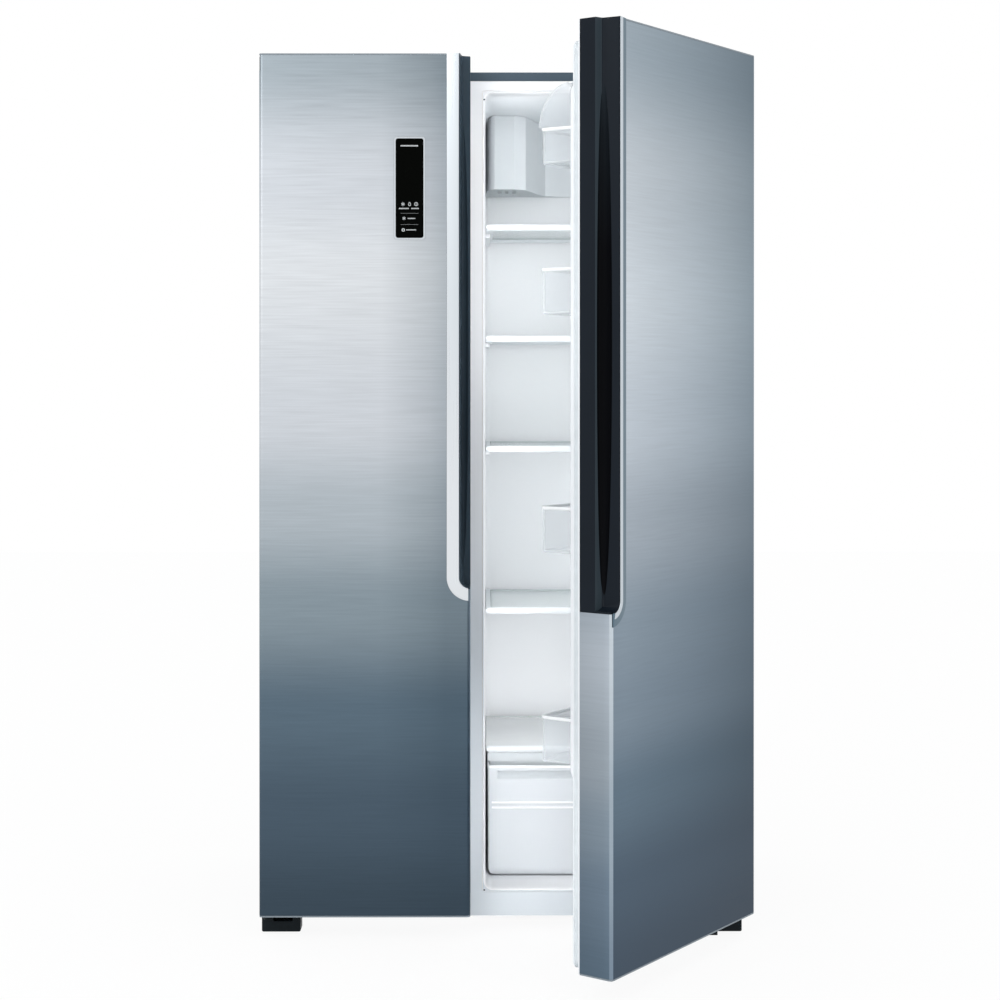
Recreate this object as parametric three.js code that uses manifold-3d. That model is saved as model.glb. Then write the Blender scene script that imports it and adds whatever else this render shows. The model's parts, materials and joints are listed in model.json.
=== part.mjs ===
// Side by side refrigerator: insulated cabinet, freezer on the left, fridge on the right.
// Millimetres, +Z up, the doors face -Y. The freezer door is shut and the fridge door stands open.
import * as THREE from 'three';
import { mergeVertices } from 'three/addons/utils/BufferGeometryUtils.js';
import Module from 'manifold-3d';

const wasm = await Module();
wasm.setup();

// Cabinet
const cabinetWidth = 930;
const cabinetDepth = 560; // front frame to back panel
const floorClearance = 24; // floor to the underside of the base
const sideWall = 45;
const topWall = 42;
const floorWall = 53;
const rearWall = 70;
const mullionWidth = 50;
const mullionOffset = 57; // middle of the mullion, left of the cabinet's middle
const openingRadius = 15;
const caseSheet = 1.2;
const caseFlange = 17;
const caseRadius = 4;
const frameThickness = 3;
const linerWall = 2.2;
const linerLip = 6;
const lipRadius = 4;
const mouthChamfer = 4;
const linerRadius = 14;
const backSheet = 1;
const backRibs = 6;
const ribWidth = 30;
const ribProud = 2;
const baseSheet = 2;
const machineDepth = 220;
const machineHeight = 232;
const machineWall = 45;

// Shelves and drawers
const crisperHeight = 222;
const drawerHeadroom = 18.5;
const shelfHeight = 13;
const shelfSpaces = [268, 314, 210, 212]; // clear heights, from the crisper cover up
const topSpace = 244.5;
const shelfSetback = 125; // front frame to the front of a shelf
const shelfBorder = 14;
const shelfNose = 5;
const shelfDrop = 2;
const shelfSideGap = 1.5;
const shelfRearGap = 7;
const glassThickness = 4;
const glassLedge = 5;
const ledgeWidth = 10;
const ledgeHeight = 8;
const drawerRail = 32;
const freezerShelfCount = 4;
const upperDrawerHeight = 150;
const drawerSideGap = 4;
const drawerSetback = 88;
const drawerWall = 2.5;
const drawerDraft = 6; // how much narrower the tub is at its floor, each side
const drawerRadius = 16;
const drawerRearGap = 8;
const gripHeight = 20;
const gripDepth = 14;
const gripDrop = 10;
const ridgeShare = 0.66;
const ridgeHeight = 6;
const ridgeProud = 1.2;

// Doors
const doorThickness = 69;
const doorGap = 8;
const doorLift = 20; // above the underside of the cabinet
const doorRise = 23; // above the top of the cabinet
const sealDepth = 14; // door back to front frame
const doorSheet = 1.2;
const doorRadius = 7;
const capThickness = 3;
const doorLinerPlate = 3;
const pinInset = 14.6;
const pinSetback = 35.6;
const pinRadius = 5;
const pinDepth = 22; // of its bore
const pinTip = 2; // clear of the bore's end
const fridgeDoorAngle = 54; // open, degrees

// Door liner, gasket and bins
const dykeHandleInset = 40;
const dykeHingeInset = 53;
const dykeTopInset = 96;
const dykeBottomInset = 48;
const dykeDepth = 47;
const dykeLowDepth = 38;
const dykeLowHeight = 330; // from the bottom of the door
const dykeWidth = 24;
const dykeDraft = 3;
const gasketWidth = 14;
const gasketHandleInset = 4;
const gasketHingeInset = 12;
const gasketTopInset = 34;
const gasketBottomInset = 6;
const gasketLayer = 3.4;
const gasketNeck = 3;
const binReach = 119; // door back to the front of a bin
const binEndInset = 55;
const binWall = 2.5;
const binRadius = 12;
const binRim = 2;
const binRimHeight = 5;
const binClearance = 1.5;
const binCorner = 3;
const binHeight = 83;
const fridgeBinLow = 346; // bottom of the door to the lowest bin
const fridgeBinSpaces = [291, 342]; // clear heights, from the lowest bin up
const freezerBinLow = 480;
const freezerBinSpaces = [237, 277];
const dairyDrop = 143; // top of the dyke to the dairy bin's floor
const dairyHeight = 65;
const lidWall = 2.5;
const bossDepth = 8;
const bossHeight = 10;
const bossReach = 33;

// Handles
const rebateWidth = 19.5; // at the door's front
const rebateFloor = 15.5; // at the foot of its sloping wall
const rebateDepth = 29;
const rebateEdge = 34; // its depth at the door's edge
const rebateCorner = 3;
const lipWidth = 1.5; // black edge between the rebate and the trim
const lipProud = 4;
const trimWidth = 24;
const trimProud = 4.5; // at its inner edge
const trimThin = 0.8; // at its outer edge
const handleHeight = 1021;
const handleFoot = 3; // wall under the rebate's round end
const handleBlock = 50;
const scoopWidth = 12;
const scoopDepth = 15;
const scoopLength = 890;
const scoopFoot = 24; // bottom of the handle to the bottom of the scoop
const scoopInset = 14; // middle of the scoop, from the door's handle edge
const scoopSetback = 25; // and from the door's front

// Display
const displayWidth = 60;
const displayHeight = 197;
const displayInset = 86; // from the freezer door's handle edge
const displayDrop = 159;
const displayDepth = 5;
const displayProud = 1;
const displayRadius = 3;
const arcSteps = 8;
const trimEnd = 4; // where the trim's lower end stops, from the door's edge
const lidSteps = 8;
const lidGap = 1;
const lidBarrel = 5;

// Hinges
const notchWidth = 33.1;
const notchHeight = 32;
const notchFront = 6.5;
const notchSheet = 4;
const armThickness = 4;
const armWidth = 20;
const collarRadius = 9;
const coverRadius = 17.5;
const coverCorner = 8.75;
const coverWall = 2.2;
const coverLength = 88;
const coverWidth = 68;
const coverStart = 5;
const plateInset = 2; // hinge plate inside its cover's wall
const coverFoot = 1; // under the cover, in the door's notch
const hingePlateThickness = 4;
const hingeBlockWidth = 75;
const hingeBlockDepth = 35;
const hingeBlockHeight = 33;
const hingeShoulder = 22;
const hingeShoulderIn = 15.4;
const hingeCorner = 2;
const hingeWall = 3.75;
const hingeSaddle = 10;
const hingeBlockLow = 3;
const toeWidth = 25;
const toeReach = 26;
const toeHeight = 12;

// Feet, rollers and machine compartment
const footRadius = 19;
const footHeight = 9;
const footInset = 37;
const footTravel = 3;
const footEdge = 2;
const footNeck = 0.6; // of its radius
const footSetback = 29;
const stemRadius = 5;
const bossSize = 30;
const rollerRadius = 17;
const rollerWidth = 24;
const rollerInset = 65;
const rollerSetback = 43;
const axleRadius = 4;
const axleEnd = 1; // into each cheek
const tyreEdge = 2;
const cheekThickness = 3;
const compressorRadius = 78;
const compressorHeight = 158;
const compressorInset = 210; // from the cabinet's right side
const potProfile = [[0, 0], [0.75, 0], [0.96, 0.12], [1, 0.4], [1.04, 0.42], [1.04, 0.48], [1, 0.5],
  [0.95, 0.8], [0.7, 0.95], [0, 1]]; // as shares of its radius and height
const soleReach = 90;
const soleDepth = 70;
const soleCorner = 20;
const bushRadius = 10;
const bushSpacing = 55;
const suctionInset = 43;
const dischargeInset = 39;
const dischargeHeight = 47;
const terminalDepth = 10;
const terminalLow = 63;
const terminalHeight = 55;
const fanRadius = 68;
const fanInset = 405; // from the cabinet's right side
const fanBlades = 5;
const fanThickness = 30;
const fanGap = 5;
const fanHubRadius = 18;
const fanHubLength = 20;
const bladeSetback = 13; // middle of the blades, from the hub's end
const bladeRoot = 2; // inside the hub
const bladeChord = 34;
const bladeCamber = 4;
const bladeThickness = 2;
const bladePitch = 40;
const bladeTwist = 15;
const motorRadius = 20;
const motorLength = 34;
const shaftRadius = 3;
const bracketSheet = 2.5;
const coverSlotRows = 3;
const coverSlotPitch = 100;
const coverSlotLength = 70;
const coverSlotHeight = 8;
const coverSheet = 1.5;

// Ducts and evaporator
const ductHeight = 156;
const ductPlate = 8;
const ductDepth = 179;
const ductWidth = 62;
const ductShoulder = 53;
const coverPlate = 3;
const evaporatorSpace = 65;
const evaporatorHeight = 330;
const evaporatorFins = 7;
const finThickness = 1.5;
const coilInset = 10;
const coilTubes = 3;
const coilTubeRadius = 4;
const coverDuctWidth = 210;
const coverDuctDepth = 14;
const louvreOffset = 50;
const louvreWidth = 70;
const louvreHeight = 10;
const louvreDrop = 40;
const ductNose = 20;
const ductOutlets = 3;
const ductOutletWidth = 8;
const ductOutletInset = 7;
const ductOutletSetback = 40; // behind the housing's nose
const ductOutletLength = 55;
const ductSteps = 5;

const seat = 0.3; // gap that touching pieces keep
const through = 2; // how far a cut runs past the face it opens

// Levels and planes worked out from the sizes above
const base = floorClearance;
const openingBottom = base + floorWall;
const crisperCoverLow = openingBottom + crisperHeight + drawerHeadroom;
const stack = (low, height, spaces) => spaces.reduce(
  (lows, space) => [...lows, lows.at(-1) + height + space], [low]);
const shelfLows = stack(crisperCoverLow, shelfHeight, shelfSpaces);
const openingTop = shelfLows.at(-1) + shelfHeight + topSpace;
const cabinetTop = openingTop + topWall;
const doorBottom = base + doorLift;
const doorTop = cabinetTop + doorRise;
const front = doorThickness + sealDepth; // plane of the front frame
const rear = front + cabinetDepth;
const half = cabinetWidth / 2;
const linerBack = rear - rearWall;
const machineFront = rear - machineDepth;
const stepFront = machineFront - machineWall;
const machineTop = base + baseSheet + machineHeight;
const stepTop = machineTop + machineWall;
const freezerLeft = -half + sideWall;
const freezerRight = -mullionOffset - mullionWidth / 2;
const fridgeLeft = -mullionOffset + mullionWidth / 2;
const fridgeRight = half - sideWall;
const shelfFront = front + shelfSetback;
const drawerFront = front + drawerSetback;
const upperDrawerLow = stepTop + drawerHeadroom;
const freezerBase = upperDrawerLow + upperDrawerHeight + drawerHeadroom;
const freezerSpace = (openingTop - freezerBase) / freezerShelfCount;
const freezerShelfLows = Array.from({ length: freezerShelfCount }, (_, i) => freezerBase + i * freezerSpace);
const evaporatorFace = linerBack - evaporatorSpace - coverDuctDepth - shelfRearGap;
const handleLow = doorTop - handleHeight - handleFoot;
const handleCentre = handleLow + handleFoot + rebateWidth; // centre of the handle's round lower end
const trimInner = rebateWidth + lipWidth + seat;
const trimOuter = trimInner + trimWidth;
const notchLow = doorTop - notchHeight;
const dairyLow = doorTop - dykeTopInset - dairyDrop;

const paint = (color, roughness, metalness = 0, opacity = 1) => new THREE.MeshStandardMaterial({
  color, roughness, metalness, opacity, transparent: opacity < 1 });
const steel = paint(0x9fb0bc, 0.35, 0.9);
const silver = paint(0xe2e7ea, 0.25, 0.8);
const blackPlastic = paint(0x1c2329, 0.35);
const blackGlass = paint(0x0c0e0d, 0.08);
const greyPaint = paint(0x52636f, 0.5);
const greyPlastic = paint(0x4a565f, 0.5);
const whitePlastic = paint(0xf2f4f6, 0.4);
const whiteLiner = paint(0xe6eaed, 0.45);
const softRubber = paint(0xdfe3e6, 0.8);
const clearPlastic = paint(0xe8eef1, 0.15, 0, 0.4);
const toughGlass = paint(0xd8e6e6, 0.05, 0, 0.35);
const foam = paint(0xe6d9a8, 0.9);
const zincPlate = paint(0xb9bec2, 0.4, 0.9);
const blackPaint = paint(0x17191b, 0.5);
const aluminium = paint(0xc9cdd0, 0.35, 0.9);

// Solids from three.js geometry, for joining and cutting

function solid(geometry) {
  const bare = geometry.index ? geometry.toNonIndexed() : geometry.clone();
  bare.deleteAttribute('normal');
  bare.deleteAttribute('uv');
  const merged = mergeVertices(bare, 1e-4);
  return new wasm.Manifold(new wasm.Mesh({
    numProp: 3,
    vertProperties: new Float32Array(merged.attributes.position.array),
    triVerts: new Uint32Array(merged.index.array),
  }));
}

function geometryOf(body) {
  const mesh = body.getMesh();
  const geometry = new THREE.BufferGeometry();
  geometry.setAttribute('position', new THREE.BufferAttribute(mesh.vertProperties, 3));
  geometry.setIndex(new THREE.BufferAttribute(mesh.triVerts, 1));
  geometry.computeVertexNormals();
  return geometry;
}

const join = (...bodies) => bodies.flat().reduce((sum, body) => sum.add(body));
const cut = (body, ...tools) => tools.flat().reduce((rest, tool) => rest.subtract(tool), body);

function block(x0, x1, y0, y1, z0, z1) {
  const geometry = new THREE.BoxGeometry(Math.abs(x1 - x0), Math.abs(y1 - y0), Math.abs(z1 - z0));
  return solid(geometry.translate((x0 + x1) / 2, (y0 + y1) / 2, (z0 + z1) / 2));
}

// A closed outline with rounded corners; a corner is [a, b] or [a, b, its own radius]
function outline(corners, radius = 0) {
  const points = corners.flatMap(([a, b, own], i) => {
    const corner = new THREE.Vector2(a, b);
    const before = new THREE.Vector2(...corners.at(i - 1));
    const after = new THREE.Vector2(...corners[(i + 1) % corners.length]);
    const r = Math.min(own ?? radius, corner.distanceTo(before) / 2, corner.distanceTo(after) / 2);
    if (r <= 0) return [corner];
    const start = corner.clone().add(before.sub(corner).setLength(r));
    const end = corner.clone().add(after.sub(corner).setLength(r));
    return new THREE.QuadraticBezierCurve(start, corner, end).getPoints(Math.ceil(Math.sqrt(r) / 2));
  });
  return new THREE.Shape(points);
}

function rectangle(a0, a1, b0, b1, radius = 0) {
  const [aLow, aHigh] = [Math.min(a0, a1), Math.max(a0, a1)];
  const [bLow, bHigh] = [Math.min(b0, b1), Math.max(b0, b1)];
  return outline([[aLow, bLow], [aHigh, bLow], [aHigh, bHigh], [aLow, bHigh]], radius);
}

// How an extrusion's own axes lie in the appliance, by the axis that it runs along
const [unitX, unitY, unitZ] = [[1, 0, 0], [0, 1, 0], [0, 0, 1]].map((v) => new THREE.Vector3(...v));
const turns = {
  x: new THREE.Matrix4().makeBasis(unitY, unitZ, unitX),
  y: new THREE.Matrix4().makeBasis(unitX, unitZ, unitY.clone().negate()),
  z: new THREE.Matrix4(),
};

// Place an extrusion of the depth to - from between two planes across its axis
function placed(geometry, axis, from, to) {
  geometry.applyMatrix4(turns[axis]);
  const [x, y, z] = { x: [from, 0, 0], y: [0, to, 0], z: [0, 0, from] }[axis];
  return solid(geometry.translate(x, y, z));
}

function prism(axis, shape, from, to, bevel = 0) {
  const geometry = new THREE.ExtrudeGeometry(shape, {
    depth: to - from - 2 * bevel,
    bevelEnabled: bevel > 0,
    bevelThickness: bevel,
    bevelSize: bevel,
    bevelOffset: -bevel,
    bevelSegments: 2,
  });
  return placed(geometry.translate(0, 0, bevel), axis, from, to);
}

// A rounded rectangle extruded along y, drawn in by one inset at its start and another at its end
function tapered(a0, a1, b0, b1, radius, from, to, startInset, endInset) {
  const geometry = new THREE.ExtrudeGeometry(rectangle(a0, a1, b0, b1, radius), {
    depth: to - from, bevelEnabled: false });
  const position = geometry.attributes.position;
  const middle = [(a0 + a1) / 2, (b0 + b1) / 2];
  const reach = [Math.abs(a1 - a0) / 2, Math.abs(b1 - b0) / 2];
  for (let i = 0; i < position.count; i += 1) {
    const inset = THREE.MathUtils.lerp(endInset, startInset, position.getZ(i) / (to - from));
    position.setX(i, middle[0] + (position.getX(i) - middle[0]) * (1 - inset / reach[0]));
    position.setY(i, middle[1] + (position.getY(i) - middle[1]) * (1 - inset / reach[1]));
  }
  return placed(geometry, 'y', from, to);
}

// A round bar along one axis; its centre is given in the two other axes, in x, y, z order
function rod(axis, centre, radius, from, to, sides = 16) {
  const geometry = new THREE.CylinderGeometry(radius, radius, to - from, sides);
  if (axis === 'x') geometry.rotateZ(Math.PI / 2);
  if (axis === 'z') geometry.rotateX(Math.PI / 2);
  const middle = (from + to) / 2;
  const [x, y, z] = {
    x: [middle, ...centre], y: [centre[0], middle, centre[1]], z: [...centre, middle] }[axis];
  return solid(geometry.translate(x, y, z));
}

function turned(profile, sides) {
  const points = profile.map(([radius, height]) => new THREE.Vector2(radius, height));
  return solid(new THREE.LatheGeometry(points, sides).rotateX(Math.PI / 2));
}

function moved(body, x, y, z) {
  return solid(geometryOf(body).translate(x, y, z));
}

// Cabinet shell

// A slab across the cabinet, from a low level up to an inset from its sides and rounded top
const slab = (inset, low, from, to) => prism('y', outline([[-half + inset, low], [half - inset, low],
  [half - inset, cabinetTop - inset, caseRadius], [-half + inset, cabinetTop - inset, caseRadius],
]), from, to);

function outerCase() {
  const shell = cut(slab(0, base, front, rear),
    slab(caseSheet, base - through, front - through, rear + through));
  const flange = cut(slab(0, base, front, front + caseSheet),
    block(-half + caseFlange, half - caseFlange, front - through, front + caseSheet + through,
      base - through, cabinetTop - caseFlange));
  return join(shell, flange);
}

function frontFrame() {
  const side = half - caseFlange - seat;
  const grow = linerLip + seat;
  const window = (left, right) => prism('y', rectangle(left - grow, right + grow,
    openingBottom - grow, openingTop + grow, lipRadius + seat),
  front - through, front + frameThickness + through);
  const plate = block(-side, side, front, front + frameThickness, base, cabinetTop - caseFlange - seat);
  return cut(plate, window(freezerLeft, freezerRight), window(fridgeLeft, fridgeRight));
}

function backPanel() {
  const sheet = slab(caseSheet + seat, machineTop, rear - backSheet, rear);
  const ribs = Array.from({ length: backRibs }, (_, i) => {
    const x = -half + (cabinetWidth * (i + 0.5)) / backRibs;
    return prism('y', rectangle(x - ribWidth / 2, x + ribWidth / 2, machineTop + topWall,
      cabinetTop - topWall, ribWidth / 2), rear - backSheet / 2, rear + ribProud);
  });
  return join(sheet, ribs);
}

// The room of a compartment, grown on every side; its floor steps up over the machine compartment
function compartment(left, right, grow) {
  const mouth = rectangle(left - grow, right + grow, openingBottom - grow, openingTop + grow,
    openingRadius + grow);
  const side = outline([
    [front - through, openingBottom - grow, 0],
    [stepFront + grow, openingBottom - grow],
    [stepFront + grow, stepTop - grow],
    [linerBack + grow, stepTop - grow],
    [linerBack + grow, openingTop + grow],
    [front - through, openingTop + grow, 0],
  ], linerRadius);
  return prism('y', mouth, front - through, linerBack + grow)
    .intersect(prism('x', side, left - grow, right + grow));
}

function insulation() {
  const filling = slab(caseSheet + seat, base + baseSheet + seat,
    front + frameThickness + seat, rear - backSheet - seat);
  const machineRoom = block(-half, half, machineFront, rear + through, base, machineTop);
  const grow = linerWall + seat;
  const room = (left, right) => {
    const across = [left - grow, right + grow, front - through];
    return [block(...across, stepFront + grow, openingBottom - grow, openingTop + grow),
      block(...across, linerBack + grow, stepTop - grow, openingTop + grow),
      compartment(left, right, grow)];
  };
  return cut(filling, machineRoom, room(freezerLeft, freezerRight), room(fridgeLeft, fridgeRight));
}

// A pair of rails along the side walls, just under the piece that they carry
function rails(left, right, low, width, end) {
  const sunk = linerWall / 2;
  const start = shelfFront + shelfBorder;
  const top = low - seat;
  return [[left - sunk, left + width], [right - width, right + sunk]].map(([inner, outer]) =>
    block(inner, outer, start, end, top - ledgeHeight, top));
}

function liner(left, right, ledges) {
  const lip = prism('y', rectangle(left - linerLip, right + linerLip, openingBottom - linerLip,
    openingTop + linerLip, lipRadius), front, front + frameThickness);
  const aheadOfFrame = block(left - sideWall, right + sideWall, front - 2 * through, front,
    base, cabinetTop);
  const flare = tapered(left - mouthChamfer, right + mouthChamfer, openingBottom - mouthChamfer,
    openingTop + mouthChamfer, openingRadius + mouthChamfer, front - seat, front + mouthChamfer,
    0, mouthChamfer);
  const shell = cut(join(cut(compartment(left, right, linerWall), aheadOfFrame), lip),
    compartment(left, right, 0), flare);
  return join(shell, ledges);
}

// Shelves

// A shelf's frame: a rounded front bar and a flat border behind it
function shelfBorderSolid(left, right, low) {
  const [start, end] = [shelfFront, linerBack - shelfRearGap];
  const bar = prism('x', rectangle(start, start + shelfBorder, low, low + shelfHeight, shelfNose),
    left + shelfSideGap, right - shelfSideGap);
  const border = prism('z', rectangle(left + shelfSideGap, right - shelfSideGap,
    start + shelfNose, end, shelfNose), low, low + shelfHeight - shelfDrop);
  return join(bar, border);
}

function shelfPlan(left, right, inset, radius) {
  return rectangle(left + shelfSideGap + inset, right - shelfSideGap - inset,
    shelfFront + inset, linerBack - shelfRearGap - inset, radius);
}

const glassLow = shelfHeight - shelfDrop - glassThickness - seat;

function shelfFrame(low) {
  const window = shelfPlan(fridgeLeft, fridgeRight, shelfBorder, shelfNose);
  const recess = shelfPlan(fridgeLeft, fridgeRight, shelfBorder - glassLedge, shelfNose);
  return cut(shelfBorderSolid(fridgeLeft, fridgeRight, low),
    prism('z', window, low - through, low + shelfHeight + through),
    prism('z', recess, low + glassLow - seat, low + shelfHeight + through));
}

function shelfGlass(low) {
  const plan = shelfPlan(fridgeLeft, fridgeRight, shelfBorder - glassLedge + seat, shelfNose);
  return prism('z', plan, low + glassLow, low + glassLow + glassThickness);
}

// A one-piece shelf: a thin panel in the same border
function trayShelf(left, right, low, end) {
  const plan = shelfPlan(left, right, shelfBorder, shelfNose);
  const panelTop = low + shelfHeight - 2 * shelfDrop;
  const whole = cut(shelfBorderSolid(left, right, low),
    prism('z', plan, low - through, panelTop - glassThickness),
    prism('z', plan, panelTop, low + shelfHeight + through));
  return cut(whole, block(left, right, end, rear, low - through, low + shelfHeight + through));
}

// Drawers

// A tub with sloping sides; its front has a finger grip under the rim and a moulded ridge
function drawer(left, right, low, height, end) {
  const [x0, x1] = [left + drawerSideGap, right - drawerSideGap];
  const [y0, y1, top] = [drawerFront, end - drawerRearGap, low + height];
  const tub = (inset, frontInset, rise) => prism('y', outline([
    [x0 + drawerDraft + inset, low + inset, drawerRadius - inset],
    [x1 - drawerDraft - inset, low + inset, drawerRadius - inset],
    [x1 - inset, top + rise], [x0 + inset, top + rise],
  ]), y0 + frontInset, y1 - inset).intersect(prism('x', outline([
    [y0 + frontInset, low + inset, drawerDraft], [y1 - drawerDraft - inset, low + inset, drawerRadius],
    [y1 - inset, top + rise], [y0 + frontInset, top + rise],
  ]), x0, x1));
  const gripHigh = top - gripDrop;
  const grip = prism('x', outline([
    [y0 - through, gripHigh], [y0 + gripDepth, gripHigh, gripDepth / 2],
    [y0 + gripDepth, gripHigh - gripHeight / 2, gripDepth / 2], [y0 - through, gripHigh - gripHeight],
  ]), x0 + drawerRadius, x1 - drawerRadius);
  const ridgeHigh = low + height * ridgeShare;
  const ridge = prism('x', rectangle(y0 - ridgeProud, y0 + drawerWall, ridgeHigh - ridgeHeight, ridgeHigh,
    ridgeProud), x0 + drawerRadius, x1 - drawerRadius);
  const rimBar = block(x0 + drawerRadius, x1 - drawerRadius, y0 + drawerWall / 2,
    y0 + gripDepth + drawerWall, gripHigh - gripHeight - drawerWall, top - drawerWall);
  return cut(join(cut(tub(0, 0, 0), tub(drawerWall, drawerWall, through)), rimBar, ridge), grip);
}

// Ducts and cold parts

// The damper housing: a full-width plate on the rear wall with a deep bulge at its left end
function airDuctCover() {
  const [left, right] = [fridgeLeft + seat, fridgeRight - seat];
  const [back, plateFront] = [linerBack - seat, linerBack - seat - ductPlate];
  const nose = linerBack - ductDepth;
  const shape = new THREE.Shape();
  shape.moveTo(left, back);
  shape.lineTo(left, nose + 2 * ductShoulder);
  shape.bezierCurveTo(left + 1, nose + ductShoulder, left + ductNose / 2, nose, left + ductNose, nose);
  shape.lineTo(left + ductWidth, nose);
  shape.bezierCurveTo(left + ductWidth + ductShoulder, nose,
    left + ductWidth + ductShoulder / 2, plateFront, left + ductWidth + 2 * ductShoulder, plateFront);
  shape.lineTo(right, plateFront);
  shape.lineTo(right, back);
  const low = openingTop - ductHeight;
  const housing = prism('z', new THREE.Shape(shape.getPoints(ductSteps)), low, openingTop)
    .intersect(compartment(fridgeLeft, fridgeRight, -seat));
  const outlets = Array.from({ length: ductOutlets }, (_, i) => {
    const x = left + ductNose + ductOutletInset + (i * ductWidth) / (ductOutlets + 1);
    const start = nose + ductOutletSetback;
    return block(x, x + ductOutletWidth, start, start + ductOutletLength, low - through, low + ductPlate);
  });
  return cut(housing, outlets);
}

function evaporatorCover() {
  const [left, right] = [freezerLeft + seat, freezerRight - seat];
  const [low, high] = [stepTop + seat, openingTop - seat];
  const face = linerBack - evaporatorSpace;
  const plate = block(left, right, face, face + coverPlate, low, high)
    .intersect(compartment(freezerLeft, freezerRight, -seat));
  const middle = (left + right) / 2;
  const duct = tapered(middle - coverDuctWidth / 2, middle + coverDuctWidth / 2, low + evaporatorHeight,
    high - topWall, openingRadius, face - coverDuctDepth, face + coverPlate / 2, coverDuctDepth, 0);
  const slots = freezerShelfLows.map((shelf) => [-1, 1].map((side) => prism('y', rectangle(
    middle + side * louvreOffset - louvreWidth / 2, middle + side * louvreOffset + louvreWidth / 2,
    shelf - louvreDrop, shelf - louvreDrop + louvreHeight, louvreHeight / 2),
  face - coverDuctDepth - through, face + coverPlate + through))).flat();
  return cut(join(plate, duct), slots);
}

// A finned coil: upright plates threaded on cross tubes
function evaporator() {
  const [left, right] = [freezerLeft + coilInset, freezerRight - coilInset];
  const low = stepTop + linerRadius + seat;
  const high = stepTop + evaporatorHeight;
  const [y0, y1] = [linerBack - evaporatorSpace + coverPlate + coilInset, linerBack - seat];
  const pitch = (right - left - finThickness) / (evaporatorFins - 1);
  const fins = Array.from({ length: evaporatorFins }, (_, i) => block(
    left + i * pitch, left + i * pitch + finThickness, y0, y1, low, high));
  const tubes = Array.from({ length: coilTubes }, (_, i) => rod('x',
    [(y0 + y1) / 2, low + ((high - low) * (i + 0.5)) / coilTubes], coilTubeRadius,
    left - coilInset / 2, right + coilInset / 2, 6));
  return join(fins, tubes);
}

// Base and machine compartment

function baseTray() {
  const side = half - caseSheet - seat;
  const [start, end] = [front + frameThickness + seat, rear - backSheet - seat];
  const plate = block(-side, side, start, end, base, base + baseSheet);
  const footBosses = [-1, 1].map((hand) => cut(
    block(hand * (half - footInset) - bossSize / 2, hand * (half - footInset) + bossSize / 2,
      front + footSetback - bossSize / 2, front + footSetback + bossSize / 2,
      footHeight + footTravel, base + baseSheet / 2)));
  const footBores = [-1, 1].map((hand) => rod('z', [hand * (half - footInset), front + footSetback],
    stemRadius + seat, 0, base + baseSheet + through));
  const carriers = [-1, 1].map((hand) => {
    const x = hand * (half - rollerInset);
    const y = rear - rollerSetback;
    const reach = rollerWidth / 2 + seat;
    const cheek = (x0) => prism('x', outline([
      [y - rollerRadius, base], [y - axleRadius, rollerRadius - 2 * axleRadius, axleRadius],
      [y + axleRadius, rollerRadius - 2 * axleRadius, axleRadius], [y + rollerRadius, base],
      [y + rollerRadius, base + baseSheet], [y - rollerRadius, base + baseSheet],
    ]), x0, x0 + cheekThickness);
    return join(cheek(x - reach - cheekThickness), cheek(x + reach),
      rod('x', [y, rollerRadius], axleRadius, x - reach - axleEnd, x + reach + axleEnd));
  });
  const wells = [-1, 1].map((hand) => {
    const x = hand * (half - rollerInset);
    const y = rear - rollerSetback;
    const reach = rollerWidth / 2 + seat;
    return block(x - reach, x + reach, y - rollerRadius - through, y + rollerRadius + through,
      base - through, base + baseSheet + through);
  });
  return join(cut(join(plate, footBosses), footBores, wells), carriers, fanBracket());
}

const fanX = half - fanInset;
const fanY = (machineFront + rear) / 2;
const fanZ = base + baseSheet + machineHeight / 2;

// An upright plate with a round mouth, three arms and the fan motor
function fanBracket() {
  const x = fanX + fanThickness;
  const low = base + baseSheet / 2;
  const mouth = rod('x', [fanY, fanZ], fanRadius + fanGap, x - through, x + bracketSheet + through, 32);
  const plate = cut(block(x, x + bracketSheet, machineFront + coilInset, rear - coilInset,
    low, machineTop - coilInset), mouth);
  const arm = new THREE.BoxGeometry(bracketSheet, motorRadius, 2 * (fanRadius + 2 * fanGap));
  const arms = [0, 1, 2].map((i) => solid(arm.clone().rotateX((i * Math.PI) / 3)
    .translate(x + bracketSheet / 2, fanY, fanZ)));
  const motor = rod('x', [fanY, fanZ], motorRadius, x, x + motorLength);
  const shaft = rod('x', [fanY, fanZ], shaftRadius, x - fanHubLength, x + bracketSheet / 2, 12);
  return join(plate, arms, motor, shaft);
}

// A fan of cambered blades, each one extruded outwards and twisted
function condenserFan() {
  const hub = rod('x', [0, 0], fanHubRadius, -fanHubLength, 0, 24);
  const bore = rod('x', [0, 0], shaftRadius + seat, -2 * fanHubLength, through, 12);
  const section = outline([[-bladeChord / 2, 0], [0, bladeCamber], [bladeChord / 2, 0],
    [bladeChord / 2, bladeThickness], [0, bladeCamber + bladeThickness], [-bladeChord / 2, bladeThickness]]);
  const length = fanRadius - fanHubRadius + bladeRoot;
  const blade = new THREE.ExtrudeGeometry(section, { depth: length, steps: 3, bevelEnabled: false });
  const position = blade.attributes.position;
  const point = new THREE.Vector3();
  for (let i = 0; i < position.count; i += 1) {
    point.fromBufferAttribute(position, i);
    const twist = THREE.MathUtils.degToRad(bladePitch - (bladeTwist * point.z) / length);
    position.setXYZ(i, ...point.applyAxisAngle(unitZ, twist).toArray());
  }
  blade.rotateZ(Math.PI / 2).translate(-bladeSetback, 0, fanHubRadius - bladeRoot);
  const blades = Array.from({ length: fanBlades }, (_, i) => solid(
    blade.clone().rotateX((i * 2 * Math.PI) / fanBlades)));
  return moved(cut(join(hub, blades), bore), fanX + fanThickness - seat, fanY, fanZ);
}

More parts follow.
